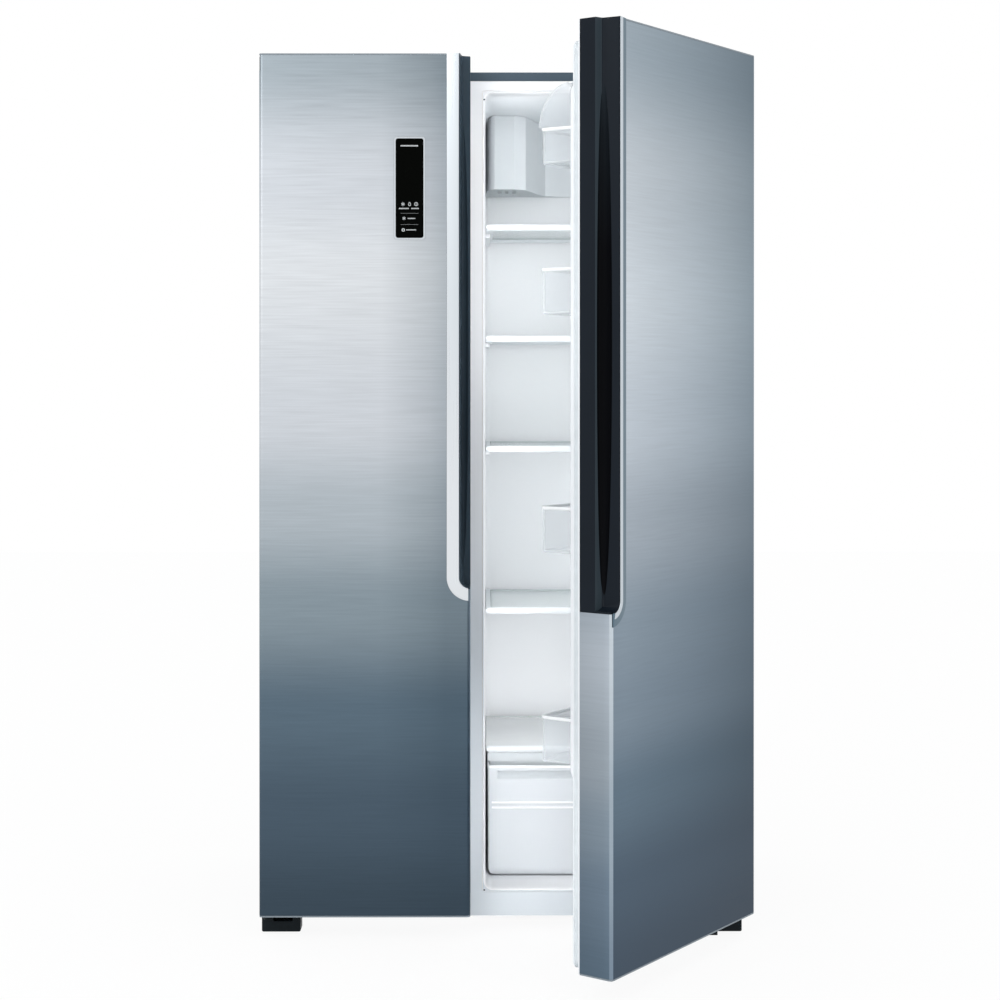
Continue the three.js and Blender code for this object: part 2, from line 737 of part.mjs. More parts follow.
// A welded pot on a foot plate, with its suction and discharge stubs
function compressor() {
  const [r, h] = [compressorRadius, compressorHeight];
  const pot = turned(potProfile.map(([across, up]) => [across * r, up * h]), 16);
  const sole = prism('z', rectangle(-soleReach, soleReach, -soleDepth, soleDepth, soleCorner),
    0, bracketSheet);
  const bushes = [-1, 1].flatMap((i) => [-1, 1].map((j) => rod('z',
    [i * r, j * bushSpacing], bushRadius, 0, footHeight, 8)));
  const raised = moved(join(pot, moved(sole, 0, 0, bracketSheet)),
    0, 0, footHeight - 2 * bracketSheet);
  const suction = rod('z', [suctionInset, 0], coilTubeRadius, h / 2, h + coilInset, 8);
  const discharge = rod('y', [dischargeInset, dischargeHeight], coilTubeRadius, -r - coilInset, 0, 8);
  const terminals = block(-r - terminalDepth, -soleCorner, -terminalDepth * 2, terminalDepth * 2,
    terminalLow, terminalLow + terminalHeight);
  return moved(join(raised, bushes, suction, discharge, terminals),
    half - compressorInset, (machineFront + rear) / 2, base + baseSheet + seat);
}

function machineCover() {
  const side = half - caseSheet - seat;
  const [low, high] = [base + baseSheet + seat, machineTop - seat];
  const plate = block(-side, side, rear - coverSheet, rear, low, high);
  const columns = Math.floor((2 * side - coverSlotPitch) / coverSlotPitch);
  const rowPitch = (high - low) / (coverSlotRows + 1);
  const slots = Array.from({ length: columns * coverSlotRows }, (_, i) => {
    const x = ((i % columns) - (columns - 1) / 2) * coverSlotPitch;
    const z = low + rowPitch * (Math.floor(i / columns) + 1);
    return block(x - coverSlotLength / 2, x + coverSlotLength / 2, rear - coverSheet - through,
      rear + through, z - coverSlotHeight / 2, z + coverSlotHeight / 2);
  });
  return cut(plate, slots);
}

function foot(hand) {
  const disc = turned([[0, 0], [footRadius - footEdge, 0], [footRadius, footEdge],
    [footRadius, footHeight - footEdge], [footRadius * footNeck, footHeight], [0, footHeight]], 12);
  const stem = rod('z', [0, 0], stemRadius, footHeight / 2, base + baseSheet - seat, 12);
  return moved(join(disc, stem), hand * (half - footInset), front + footSetback, 0);
}

function roller(hand) {
  const [x, y, w] = [hand * (half - rollerInset), rear - rollerSetback, rollerWidth / 2 - seat];
  const wheel = solid(new THREE.LatheGeometry([
    [axleRadius + seat, -w], [rollerRadius - tyreEdge, -w], [rollerRadius, -w + tyreEdge],
    [rollerRadius, w - tyreEdge], [rollerRadius - tyreEdge, w], [axleRadius + seat, w],
    [axleRadius + seat, -w],
  ].map(([r, h]) => new THREE.Vector2(r, h)), 16).rotateZ(Math.PI / 2));
  return moved(wheel, x, y, rollerRadius);
}

// Hinges, for the right hand (1) or the left hand (-1)

function topHinge(hand) {
  const pinX = hand * (half - pinInset);
  const [low, high] = [cabinetTop + seat, cabinetTop + seat + armThickness];
  const inset = coverWall + plateInset;
  const plate = prism('z', rectangle(hand * (half - inset), hand * (half - coverWidth + inset),
    front + coverStart + inset, front + coverStart + coverLength - inset, coverCorner), low, high);
  const arm = block(pinX - armWidth / 2, pinX + armWidth / 2, pinSetback,
    front + coverStart + 2 * coverWall + armThickness, low, high);
  const nose = rod('z', [pinX, pinSetback], armWidth / 2, low, high, 24);
  const collar = rod('z', [pinX, pinSetback], collarRadius, notchLow + seat, high);
  const pin = rod('z', [pinX, pinSetback], pinRadius, notchLow - pinDepth + pinTip, high);
  return join(plate, arm, nose, collar, pin);
}

function hingeCover(hand) {
  const pinX = hand * (half - pinInset);
  const shell = (inset, low, high) => {
    const radius = coverRadius - inset;
    const nose = rod('z', [pinX, pinSetback], radius, notchLow + coverFoot - low, high, 24);
    const neck = block(pinX - radius, pinX + radius, pinSetback, front - seat + (inset ? through : 0),
      notchLow + coverFoot - low, high);
    const [x0, x1] = [hand * (half - seat - inset), hand * (half - coverWidth + inset)];
    const housing = prism('z', rectangle(x0, x1, front + coverStart + inset,
      front + coverStart + coverLength - inset, coverCorner), cabinetTop + seat - low, high);
    const bridge = block(pinX - hand * radius, hand * (half - seat - inset), front - 2 * seat,
      front + coverStart + 2 * coverWall + (inset ? through : 0), cabinetTop + seat - low, high);
    return join(nose, neck, bridge, housing);
  };
  return cut(shell(0, 0, doorTop - coverFoot), shell(coverWall, through, doorTop - coverFoot - coverWall));
}

function lowerHinge(hand) {
  const [outer, inner] = [hand * half, hand * (half - hingeBlockWidth)];
  const [shoulderOut, shoulderIn] = [hand * (half - hingeShoulder),
    hand * (half - hingeBlockWidth + hingeShoulderIn)];
  const [low, high, saddle] = [hingeBlockLow, hingeBlockHeight, hingeBlockHeight - hingeSaddle];
  const [y0, y1] = [front - seat - hingeBlockDepth, front - seat];
  const blockSolid = prism('y', outline([[outer, low], [outer, high], [shoulderOut, high],
    [shoulderOut, saddle], [shoulderIn, saddle], [shoulderIn, high], [inner, high], [inner, low]],
  hingeCorner), y0, y1);
  const hollow = prism('y', rectangle(outer - hand * hingeWall, inner + hand * hingeWall,
    low - through, saddle - hingeWall), y0 + hingeWall, y1 - hingeWall);
  const pinX = hand * (half - pinInset);
  const arm = (from, to) => join(
    rod('z', [pinX, pinSetback], armWidth / 2, from, to, 24),
    block(pinX - armWidth / 2, pinX + armWidth / 2, pinSetback, y1, from, to));
  const plateHigh = high + hingePlateThickness;
  const flange = block(outer - hand * hingeCorner, inner + hand * hingeCorner, y1 - bracketSheet, y1,
    low, doorBottom);
  const collar = rod('z', [pinX, pinSetback], collarRadius, high, doorBottom - seat);
  const pin = rod('z', [pinX, pinSetback], pinRadius, high, doorBottom + pinDepth - pinTip);
  const hinge = join(cut(blockSolid, hollow), arm(high - hingeCorner, plateHigh), flange, collar, pin);
  if (hand < 0) return hinge;
  const toe = block(inner, inner + hand * toeWidth, y0 - toeReach, y0 + through, low, low + toeHeight);
  return join(hinge, toe);
}

// Doors. A place across a door is measured in from its handle edge: at(0) is the handle edge,
// at(width) the hinge edge. Heights and depths are the cabinet's, with the door shut.

function makeDoor(hand) {
  const edge = -mullionOffset + (hand * doorGap) / 2;
  const width = half - hand * edge;
  const bins = hand > 0 ? stack(fridgeBinLow, binHeight, fridgeBinSpaces)
    : stack(freezerBinLow, binHeight, freezerBinSpaces);
  return { hand, width, at: (inward) => edge + hand * inward, bins: bins.map((low) => doorBottom + low) };
}

const linerFace = doorThickness; // the door's back
const skinBack = doorThickness - doorLinerPlate - seat;
const dykeFace = linerFace + dykeDepth;

function doorPlan(door, inset, back) {
  const radius = doorRadius - inset;
  return outline([[door.at(inset), back], [door.at(inset), inset, radius],
    [door.at(door.width - inset), inset, radius], [door.at(door.width - inset), back]]);
}

// Everything within a distance of the handle edge, with a round lower end
function handleZone(door, reach, start, end) {
  const arc = Array.from({ length: arcSteps + 1 }, (_, i) => {
    const turn = (i / arcSteps) * (Math.PI / 2);
    return [door.at(reach * Math.sin(turn)), handleCentre - reach * Math.cos(turn)];
  });
  return prism('y', outline([[door.at(-through), handleCentre - reach], ...arc,
    [door.at(reach), doorTop + through], [door.at(-through), doorTop + through]]), start, end);
}

function hingeNotch(door, width, start) {
  return block(door.at(door.width - width), door.at(door.width + through), start, front,
    notchLow, doorTop + through);
}

function displayHole(door, grow, start, end) {
  const near = door.at(displayInset - grow);
  const far = door.at(displayInset + displayWidth + grow);
  const high = doorTop - displayDrop + grow;
  return prism('y', rectangle(near, far, high - displayHeight - 2 * grow, high, displayRadius), start, end);
}

function doorPanel(door) {
  const [low, high] = [doorBottom + capThickness + seat, doorTop - capThickness - seat];
  const skin = cut(prism('z', doorPlan(door, 0, skinBack), low, high),
    prism('z', doorPlan(door, doorSheet, skinBack + through), low - through, high + through));
  const sideOpening = block(door.at(-through), door.at(doorRadius + 1), -through, front,
    handleLow - seat, doorTop);
  const panel = cut(skin, sideOpening, handleZone(door, trimOuter + seat, -through, doorSheet + seat),
    hingeNotch(door, notchSheet, -through));
  return door.hand > 0 ? panel : cut(panel, displayHole(door, seat, -through, displayDepth));
}

// Foam core with the end caps that close the skin
function doorBody(door) {
  const inset = doorSheet + seat;
  const core = prism('z', doorPlan(door, inset, skinBack), doorBottom, doorTop);
  const caps = [doorBottom, doorTop - capThickness].map((low) => prism('z',
    doorPlan(door, 0, skinBack), low, low + capThickness));
  const pocket = (reach, low, high) => block(door.at(-through), door.at(reach + seat), -through, front,
    low, high);
  const pockets = [pocket(handleBlock, handleLow - seat, doorTop - capThickness),
    pocket(trimOuter, doorTop - capThickness - through, doorTop + through)];
  const pinX = door.at(door.width - pinInset);
  const bores = [[doorBottom - through, doorBottom + pinDepth], [notchLow - pinDepth, doorTop]].map(
    ([low, high]) => rod('z', [pinX, pinSetback], pinRadius + seat, low, high));
  const filled = cut(join(core, caps), pockets, bores, hingeNotch(door, notchWidth, notchFront));
  return door.hand > 0 ? filled : cut(filled, displayHole(door, seat, -through, displayDepth + seat));
}

// The rebate down the door's handle edge: a sloping wall and a shallow floor, open at the top
function handleRebate(door) {
  const clear = -lipProud - through;
  const plan = outline([
    [door.at(-through), clear], [door.at(rebateWidth), clear], [door.at(rebateWidth), 0],
    [door.at(rebateFloor), rebateDepth, rebateCorner], [door.at(0), rebateEdge],
    [door.at(-through), rebateEdge],
  ]);
  return prism('z', plan, handleLow - through, doorTop + through)
    .intersect(handleZone(door, rebateWidth, clear, front));
}

// Black handle moulding: the rebate with its raised lip, and a long lens-shaped finger scoop
function doorHandle(door) {
  const face = doorSheet + seat;
  const capLow = doorTop - capThickness - seat;
  const lip = handleZone(door, rebateWidth + lipWidth, -lipProud, face + through)
    .intersect(block(door.at(trimEnd), door.at(handleBlock), -lipProud - through, front,
      handleLow, doorTop));
  const moulding = join(
    block(door.at(0), door.at(handleBlock), face, skinBack, handleLow, capLow),
    block(door.at(0), door.at(trimOuter), face, skinBack, capLow - through, doorTop),
    lip,
  );
  const scoop = new THREE.SphereGeometry(1, 14, 16);
  scoop.rotateX(Math.PI / 2).scale(scoopWidth, scoopDepth, scoopLength / 2);
  scoop.translate(door.at(scoopInset), scoopSetback, handleLow + scoopFoot + scoopLength / 2);
  return cut(moulding, handleRebate(door), solid(scoop));
}

// Silver trim: a wedge beside the rebate that sweeps round its lower end
function handleTrim(door) {
  const section = [[trimInner, -trimProud], [trimOuter, -trimThin], [trimOuter, doorSheet],
    [trimInner, doorSheet]];
  const ring = new THREE.LatheGeometry([...section, section[0]].map((at) => new THREE.Vector2(...at)),
    4 * arcSteps);
  const bend = solid(ring.translate(door.at(0), 0, handleCentre)).intersect(block(door.at(trimEnd),
    door.at(trimOuter + through), -trimProud - through, front, handleLow - trimOuter, handleCentre));
  const straight = prism('z', outline(section.map(([u, v]) => [door.at(u), v])), handleCentre, doorTop);
  return join(bend, straight);
}

function doorLiner(door) {
  const [x0, x1] = [door.at(dykeHandleInset), door.at(door.width - dykeHingeInset)];
  const [low, high] = [doorBottom + dykeBottomInset, doorTop - dykeTopInset];
  const plate = prism('y', rectangle(door.at(seat), door.at(door.width - seat), doorBottom, doorTop, 3),
    doorThickness - doorLinerPlate, linerFace);
  const ridge = tapered(x0, x1, low, high, dykeWidth, linerFace - 1, dykeFace, 0, dykeDraft);
  const hand = door.hand;
  const field = tapered(x0 + hand * dykeWidth, x1 - hand * dykeWidth, low + dykeWidth, high - dykeWidth,
    dykeWidth / 2, linerFace, dykeFace + through, 0, -dykeDraft);
  const lowFace = linerFace + dykeLowDepth;
  const lowTop = doorBottom + dykeLowHeight;
  const lowered = prism('x', outline([[lowFace, doorBottom], [dykeFace + through, doorBottom],
    [dykeFace + through, lowTop + dykeDepth - dykeLowDepth], [dykeFace, lowTop + dykeDepth - dykeLowDepth],
    [lowFace, lowTop]]), Math.min(x0, x1) - through, Math.max(x0, x1) + through);
  const seats = [...door.bins, ...(door.hand > 0 ? [dairyLow] : [])].flatMap((binLow) => [
    [dykeHandleInset + dykeWidth - 2 * dykeDraft, dykeHandleInset + dykeWidth + bossDepth],
    [door.width - dykeHingeInset - dykeWidth - bossDepth,
      door.width - dykeHingeInset - dykeWidth + 2 * dykeDraft],
  ].map(([from, to]) => prism('x', outline([
    [linerFace - 1, binLow - seat - 2 * bossHeight], [linerFace + bossReach, binLow - seat - bossHeight],
    [linerFace + bossReach, binLow - seat], [linerFace - 1, binLow - seat]], 1),
  Math.min(door.at(from), door.at(to)), Math.max(door.at(from), door.at(to)))));
  return cut(join(plate, cut(ridge, field, lowered), seats), hingeNotch(door, notchWidth, 0));
}

// Bellows gasket: a base, a narrow neck and a wide magnet head that meets the front frame
function doorGasket(door) {
  const [low, high] = [doorBottom + gasketBottomInset, doorTop - gasketTopInset];
  const ring = (inset, start, end) => {
    const edge = (more) => rectangle(door.at(gasketHandleInset + more),
      door.at(door.width - gasketHingeInset - more), low + more, high - more, gasketWidth / 2);
    return cut(prism('y', edge(inset), start, end),
      prism('y', edge(gasketWidth - inset), start - through, end + through));
  };
  const [start, end] = [linerFace + seat, front - seat];
  return join(ring(0, start, start + gasketLayer), ring(gasketNeck, start, end),
    ring(0, end - gasketLayer, end));
}

// Bin plan: narrow between the dykes, full width in front of them
function binPlan(door, inset) {
  const inner = dykeHandleInset + dykeWidth + binClearance + inset;
  const innerFar = door.width - dykeHingeInset - dykeWidth - binClearance - inset;
  const [outer, outerFar] = [binEndInset + inset, door.width - binEndInset - inset];
  const [back, step] = [linerFace + binClearance + inset, dykeFace + binClearance + inset];
  const reach = linerFace + binReach - inset;
  return outline([
    [door.at(inner), back, binCorner], [door.at(inner), step, 0], [door.at(outer), step, binCorner],
    [door.at(outer), reach, binRadius - inset], [door.at(outerFar), reach, binRadius - inset],
    [door.at(outerFar), step, binCorner], [door.at(innerFar), step, 0], [door.at(innerFar), back, binCorner],
  ]);
}

function doorBin(door, low, height) {
  const top = low + height;
  return cut(join(prism('z', binPlan(door, binRim), low, top - binRimHeight / 2),
    prism('z', binPlan(door, 0), top - binRimHeight, top)),
  prism('z', binPlan(door, binRim + binWall), low + binWall, top + through));
}

// Quarter-round lid that covers the dairy bin and swings up about its top edge
function dairyLid(door) {
  const [low, high] = [dairyLow + dairyHeight + seat, doorTop - dykeTopInset];
  const back = dykeFace + lidGap;
  const quarter = (inset, more) => {
    const [reach, rise] = [linerFace + binReach - back - inset, high - low - inset];
    const arc = Array.from({ length: lidSteps + 1 }, (_, i) => {
      const turn = (i / lidSteps) * (Math.PI / 2);
      return [back + reach * Math.cos(turn), low + rise * Math.sin(turn)];
    });
    return outline([[back - more, low - more], [back + reach, low - more], ...arc,
      [back - more, low + rise]]);
  };
  const ends = [door.at(binEndInset), door.at(door.width - binEndInset)].sort((a, b) => a - b);
  const shell = cut(prism('x', quarter(0, 0), ends[0], ends[1]),
    prism('x', quarter(lidWall, through), ends[0] + lidWall, ends[1] - lidWall));
  const barrel = rod('x', [back + lidBarrel, high - lidBarrel], lidBarrel, ends[0], ends[1], 12);
  return join(shell, barrel).intersect(join(barrel,
    block(ends[0], ends[1], back, front + cabinetDepth, low, high - lidBarrel),
    block(ends[0], ends[1], back + lidBarrel, front + cabinetDepth, low, high)));
}

// Assembly

const appliance = new THREE.Group();

function add(parent, name, body, material) {
  const mesh = new THREE.Mesh(geometryOf(body), material);
  mesh.name = name;
  parent.add(mesh);
}

const fridgeDoor = makeDoor(1);
const freezerDoor = makeDoor(-1);

// A door hangs on its pin: the outer group turns about it, the inner one holds the shut door
function doorGroup(door, angle) {
  const pinX = door.at(door.width - pinInset);
  const turning = new THREE.Group();
  turning.position.set(pinX, pinSetback, 0);
  turning.rotation.z = door.hand * THREE.MathUtils.degToRad(angle);
  const shut = new THREE.Group();
  shut.position.set(-pinX, -pinSetback, 0);
  turning.add(shut);
  appliance.add(turning);
  return shut;
}

add(appliance, 'outer_case', outerCase(), greyPaint);
add(appliance, 'front_frame', frontFrame(), whitePlastic);
add(appliance, 'back_panel', backPanel(), greyPaint);
add(appliance, 'insulation', insulation(), foam);
add(appliance, 'fridge_liner', liner(fridgeLeft, fridgeRight, shelfLows.flatMap((low) =>
  rails(fridgeLeft, fridgeRight, low, ledgeWidth, linerBack - linerRadius))), whiteLiner);
add(appliance, 'freezer_liner', liner(freezerLeft, freezerRight, [
  ...freezerShelfLows.flatMap((low) => rails(freezerLeft, freezerRight, low, ledgeWidth, evaporatorFace)),
  ...rails(freezerLeft, freezerRight, upperDrawerLow, drawerRail, evaporatorFace),
]), whiteLiner);
add(appliance, 'air_duct_cover', airDuctCover(), whitePlastic);
add(appliance, 'evaporator_cover', evaporatorCover(), whitePlastic);
add(appliance, 'evaporator', evaporator(), aluminium);
add(appliance, 'base_tray', baseTray(), zincPlate);
add(appliance, 'machine_cover', machineCover(), greyPaint);
add(appliance, 'compressor', compressor(), blackPaint);
add(appliance, 'condenser_fan', condenserFan(), blackPlastic);

shelfLows.slice(1).reverse().forEach((low, i) => {
  add(appliance, `fridge_shelf_frame_${i + 1}`, shelfFrame(low), whitePlastic);
  add(appliance, `fridge_shelf_glass_${i + 1}`, shelfGlass(low), toughGlass);
});
add(appliance, 'crisper_cover', trayShelf(fridgeLeft, fridgeRight, crisperCoverLow, rear), clearPlastic);
add(appliance, 'crisper_drawer', drawer(fridgeLeft, fridgeRight, openingBottom + seat, crisperHeight,
  stepFront), clearPlastic);

[...freezerShelfLows].reverse().forEach((low, i) => {
  add(appliance, `freezer_shelf_${i + 1}`, trayShelf(freezerLeft, freezerRight, low, evaporatorFace),
    clearPlastic);
});
add(appliance, 'freezer_drawer_upper', drawer(freezerLeft, freezerRight, upperDrawerLow, upperDrawerHeight,
  evaporatorFace), clearPlastic);
add(appliance, 'freezer_drawer_lower', drawer(freezerLeft, freezerRight, openingBottom + seat, crisperHeight,
  stepFront), clearPlastic);

[['left', -1], ['right', 1]].forEach(([side, hand]) => {
  add(appliance, `top_hinge_${side}`, topHinge(hand), zincPlate);
  add(appliance, `hinge_cover_${side}`, hingeCover(hand), greyPlastic);
  add(appliance, `lower_hinge_${side}`, lowerHinge(hand), blackPaint);
  add(appliance, `foot_${side}`, foot(hand), blackPlastic);
  add(appliance, `roller_${side}`, roller(hand), blackPlastic);
});

[['freezer', freezerDoor, 0], ['fridge', fridgeDoor, fridgeDoorAngle]].forEach(([name, door, angle]) => {
  const group = doorGroup(door, angle);
  add(group, `${name}_door_panel`, doorPanel(door), steel);
  add(group, `${name}_door_body`, doorBody(door), greyPlastic);
  add(group, `${name}_door_liner`, doorLiner(door), whiteLiner);
  add(group, `${name}_door_gasket`, doorGasket(door), softRubber);
  add(group, `${name}_handle`, doorHandle(door), blackPlastic);
  add(group, `${name}_handle_trim`, handleTrim(door), silver);
  door.bins.forEach((low, i) => add(group, `${name}_door_bin_${door.bins.length - i}`,
    doorBin(door, low, binHeight), clearPlastic));
  if (door === fridgeDoor) {
    add(group, 'dairy_bin', doorBin(door, dairyLow, dairyHeight), clearPlastic);
    add(group, 'dairy_lid', dairyLid(door), clearPlastic);
  } else {
    add(group, 'display_panel', displayHole(door, 0, -displayProud, displayDepth), blackGlass);
  }
});

// The origin lies on the floor, in the middle of the ground that the appliance covers as it stands
const extent = new THREE.Box3().setFromObject(appliance, true);
const middle = extent.getCenter(new THREE.Vector3()).round();
appliance.position.set(-middle.x, -middle.y, 0);

const whole = new THREE.Group();
whole.add(appliance);
export default whole;
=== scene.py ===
import json
import math
import bpy
import bmesh
from mathutils import Matrix, Vector


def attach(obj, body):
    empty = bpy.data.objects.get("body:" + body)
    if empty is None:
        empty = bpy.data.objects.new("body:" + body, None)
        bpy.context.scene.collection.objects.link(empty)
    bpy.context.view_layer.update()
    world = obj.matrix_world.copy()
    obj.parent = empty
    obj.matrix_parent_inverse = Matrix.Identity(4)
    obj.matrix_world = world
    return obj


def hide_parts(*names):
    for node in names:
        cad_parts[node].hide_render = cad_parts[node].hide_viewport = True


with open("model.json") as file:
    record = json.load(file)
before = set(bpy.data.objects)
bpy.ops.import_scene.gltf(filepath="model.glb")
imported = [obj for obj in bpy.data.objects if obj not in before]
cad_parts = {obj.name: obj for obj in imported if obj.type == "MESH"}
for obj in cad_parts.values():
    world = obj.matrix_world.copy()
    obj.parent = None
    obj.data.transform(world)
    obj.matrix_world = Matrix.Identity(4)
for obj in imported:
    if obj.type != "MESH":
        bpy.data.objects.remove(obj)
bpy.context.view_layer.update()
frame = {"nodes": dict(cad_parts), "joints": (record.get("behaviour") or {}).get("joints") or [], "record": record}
mm = 0.001
beyond = 4  # how far a cutting shape reaches past what it cuts
scene = bpy.context.scene
bodies = frame["record"]["behaviour"]["bodies"]
bodyOf = {node: body for body, members in bodies.items() for node in members}
joints = {joint["name"]: joint for joint in frame["joints"]}


# camera, standing in front of the fridge door's gap

view = {"place": (-0.045, -3.770, 1.077), "lens": 68.6, "pitch": -0.14, "yaw": -0.2, "shift": (0.010, -0.118)}
camera = bpy.data.objects.new("camera", bpy.data.cameras.new("camera"))
camera.location = view["place"]
camera.rotation_euler = (math.radians(90 + view["pitch"]), 0, math.radians(view["yaw"]))
camera.data.lens = view["lens"]
camera.data.sensor_width = 36
camera.data.shift_x, camera.data.shift_y = view["shift"]
scene.collection.objects.link(camera)
scene.camera = camera


# node materials

def linear(red, green, blue):
    # a colour on screen, 0 to 255, as light
    shares = [c / 255 for c in (red, green, blue)]
    return tuple(s / 12.92 if s < 0.04045 else ((s + 0.055) / 1.055) ** 2.4 for s in shares) + (1,)


def feed(node, inputs):
    # sets inputs from plain values, sockets, or nodes by their first output
    for name, value in inputs.items():
        if isinstance(value, bpy.types.Node):
            value = value.outputs[0]
        if isinstance(value, bpy.types.NodeSocket):
            node.id_data.links.new(value, node.inputs[name])
        else:
            node.inputs[name].default_value = value
    return node


def addNode(tree, kind, inputs, **settings):
    made = tree.nodes.new("ShaderNode" + kind)
    for name, value in settings.items():
        setattr(made, name, value)
    return feed(made, inputs)


class Finish:
    # a Principled material with the nodes that give it grain; the grain's range is where most noise lies
    grainRange = (0.3, 0.7)

    def __init__(self, name, colour, roughness, metallic=0, **sockets):
        self.colour = linear(*colour)
        self.material = bpy.data.materials.new(name)
        self.material.use_nodes = True
        self.material.diffuse_color = self.colour
        self.tree = self.material.node_tree
        self.shader = self.tree.nodes["Principled BSDF"]
        feed(self.shader, {"Base Color": self.colour, "Roughness": roughness, "Metallic": metallic})
        feed(self.shader, {socket.replace("_", " "): value for socket, value in sockets.items()})
        self.place = self.node("TexCoord", {}).outputs["Object"]

    def node(self, kind, inputs, **settings):
        return addNode(self.tree, kind, inputs, **settings)

    def axis(self, letter):
        return self.node("SeparateXYZ", {0: self.place}).outputs[letter]

    def grain(self, scale, stretch=(1, 1, 1), detail=3.0, kind="Noise"):
        # a texture at a scale in features a metre, drawn out along any axis
        mapping = self.node("Mapping", {"Scale": stretch, "Vector": self.place})
        return self.node("Tex" + kind, {"Scale": scale, "Detail": detail, "Vector": mapping})

    def mapped(self, source, start, end, low=0.0, high=1.0):
        return self.node("MapRange", {
            "Value": source, "From Min": start, "From Max": end, "To Min": low, "To Max": high})

    def mixed(self, share, first, second):
        return self.node("Mix", {0: share, 6: first, 7: second}, data_type="RGBA").outputs[2]

    def ramp(self, source, stops, easing="LINEAR"):
        # a colour for each share from 0 to 1
        ramp = self.node("ValToRGB", {"Fac": source})
        ramp.color_ramp.interpolation = easing
        marks = ramp.color_ramp.elements
        while len(marks) < len(stops):
            marks.new(0.5)
        for mark, (share, colour) in zip(marks, stops):
            mark.position = share
            mark.color = colour
        return ramp

    def tones(self, source, stops, easing):
        # a colour for each value of a source
        first, last = stops[0][0], stops[-1][0]
        shares = [((value - first) / (last - first), colour) for value, colour in stops]
        return self.ramp(self.mapped(source, first, last), shares, easing)

    def heightTones(self, stops, easing):
        return self.tones(self.axis("Z"), [(z, linear(*colour)) for z, colour in stops], easing)

    def painted(self, source):
        feed(self.shader, {"Base Color": source})
        return self

    def spread(self, low, high, *grain, **more):
        # the grain moves the roughness between two values
        share = self.mapped(self.grain(*grain, **more), *self.grainRange, low, high)
        feed(self.shader, {"Roughness": share})
        return self

    def mottle(self, amount, *grain, **more):
        # the grain lightens and darkens the colour a little
        shades = [tuple(min(c * share, 1) for c in self.colour[:3]) + (1,)
                  for share in (1 - amount, 1 + amount)]
        return self.painted(self.ramp(self.grain(*grain, **more), list(zip(self.grainRange, shades))))

    def bump(self, strength, distance, *grain, **more):
        inputs = {"Strength": strength, "Distance": distance, "Height": self.grain(*grain, **more)}
        feed(self.shader, {"Normal": self.node("Bump", inputs)})
        return self


# brushed steel with painted reflection and painted shade: tones are (height, colour) and paint the light and dark
# bands down each door, shares across the door paint shade towards one side and fade in with height; edge and
# corner are the side face's tones, lighter towards the front and at the rounded corner, a painted highlight

evenly = ((-1, (1, 1, 1)), (1, (1, 1, 1)))
steels = {
    "freezer": {"grain": 0.05, "fade": (0.1, 0.75),
                "across": ((-0.24, (1, 1, 1)), (-0.147, (0.77, 0.79, 0.8)), (-0.118, (0.66, 0.69, 0.71))),
                "tone": ((0.05, (62, 76, 88)), (0.25, (76, 92, 106)), (0.44, (92, 110, 124)),
                         (0.64, (136, 150, 159)), (0.82, (175, 184, 191)), (1.0, (203, 208, 214)),
                         (1.28, (213, 217, 221)), (1.46, (198, 203, 209)), (1.69, (152, 162, 169)))},
    "fridge": {"grain": 0.05, "fade": (-0.1, 0.35),
               "across": ((0.2, (1, 1, 1)), (0.33, (0.73, 0.76, 0.78)), (0.47, (0.42, 0.475, 0.51))),
               "tone": ((0.05, (60, 76, 92)), (0.2, (72, 90, 107)), (0.36, (94, 114, 130)),
                        (0.5, (123, 139, 153)), (0.64, (134, 149, 162)), (0.82, (164, 174, 184)),
                        (1.0, (192, 201, 210)), (1.22, (207, 215, 222)), (1.42, (195, 203, 210)),
                        (1.66, (156, 169, 179)))},
    "edge": {"grain": 0.04, "fade": (0.0, 0.1),
             "across": ((0.12, (0.92, 0.92, 0.92)), (0.16, (1.04, 1.04, 1.04)), (0.18, (1.25, 1.25, 1.25))),
             "tone": ((0.05, (90, 107, 122)), (0.2, (106, 122, 137)), (0.3, (126, 140, 152)),
                      (0.42, (148, 158, 167)), (0.6, (170, 179, 188)), (0.7, (160, 170, 180)))},
    "corner": {"grain": 0.02, "fade": (0.0, 0.1), "across": evenly,
               "tone": ((0.05, (126, 142, 158)), (0.3, (158, 172, 184)), (0.6, (196, 206, 214)),
                        (0.7, (200, 210, 217)))},
    "plain": {"grain": 0.05, "fade": (0.0, 0.1), "across": evenly,
              "tone": ((0.05, (66, 80, 92)), (0.5, (100, 116, 130)), (1.0, (180, 188, 196)),
                       (1.4, (196, 202, 208)), (1.69, (160, 170, 180)))},
}


def brushedSteel(name, steel):
    # cool stainless with a fine level grain; its colour carries the painted reflection bands and the painted shade
    finish = Finish(name, steel["tone"][2][1], 0.34, 1)
    lines = (1.0, (9, 9, 300), 4.0)
    across = finish.tones(finish.axis("X"), [(x, share + (1,)) for x, share in steel["across"]], "LINEAR")
    weight = finish.mapped(finish.axis("Z"), *steel["fade"], 0.25)
    shares = finish.mixed(weight, (1, 1, 1, 1), across)
    paintedLight = finish.node("VectorMath", {0: finish.heightTones(steel["tone"], "EASE"), 1: shares},
                        operation="MULTIPLY")
    grain = steel["grain"]
    tint = finish.mapped(finish.grain(*lines), *finish.grainRange, 1 - grain, 1 + grain)
    finish.painted(finish.node("VectorMath", {0: paintedLight, "Scale": tint}, operation="SCALE"))
    return finish.spread(0.32, 0.40, *lines).bump(0.15, 0.00002, *lines)


def pressedSheet(name, colour):
    # the white plastic sheet of the liners
    return Finish(name, colour, 0.42).spread(0.36, 0.5, 20).bump(0.08, 0.0003, 180, detail=2.0)


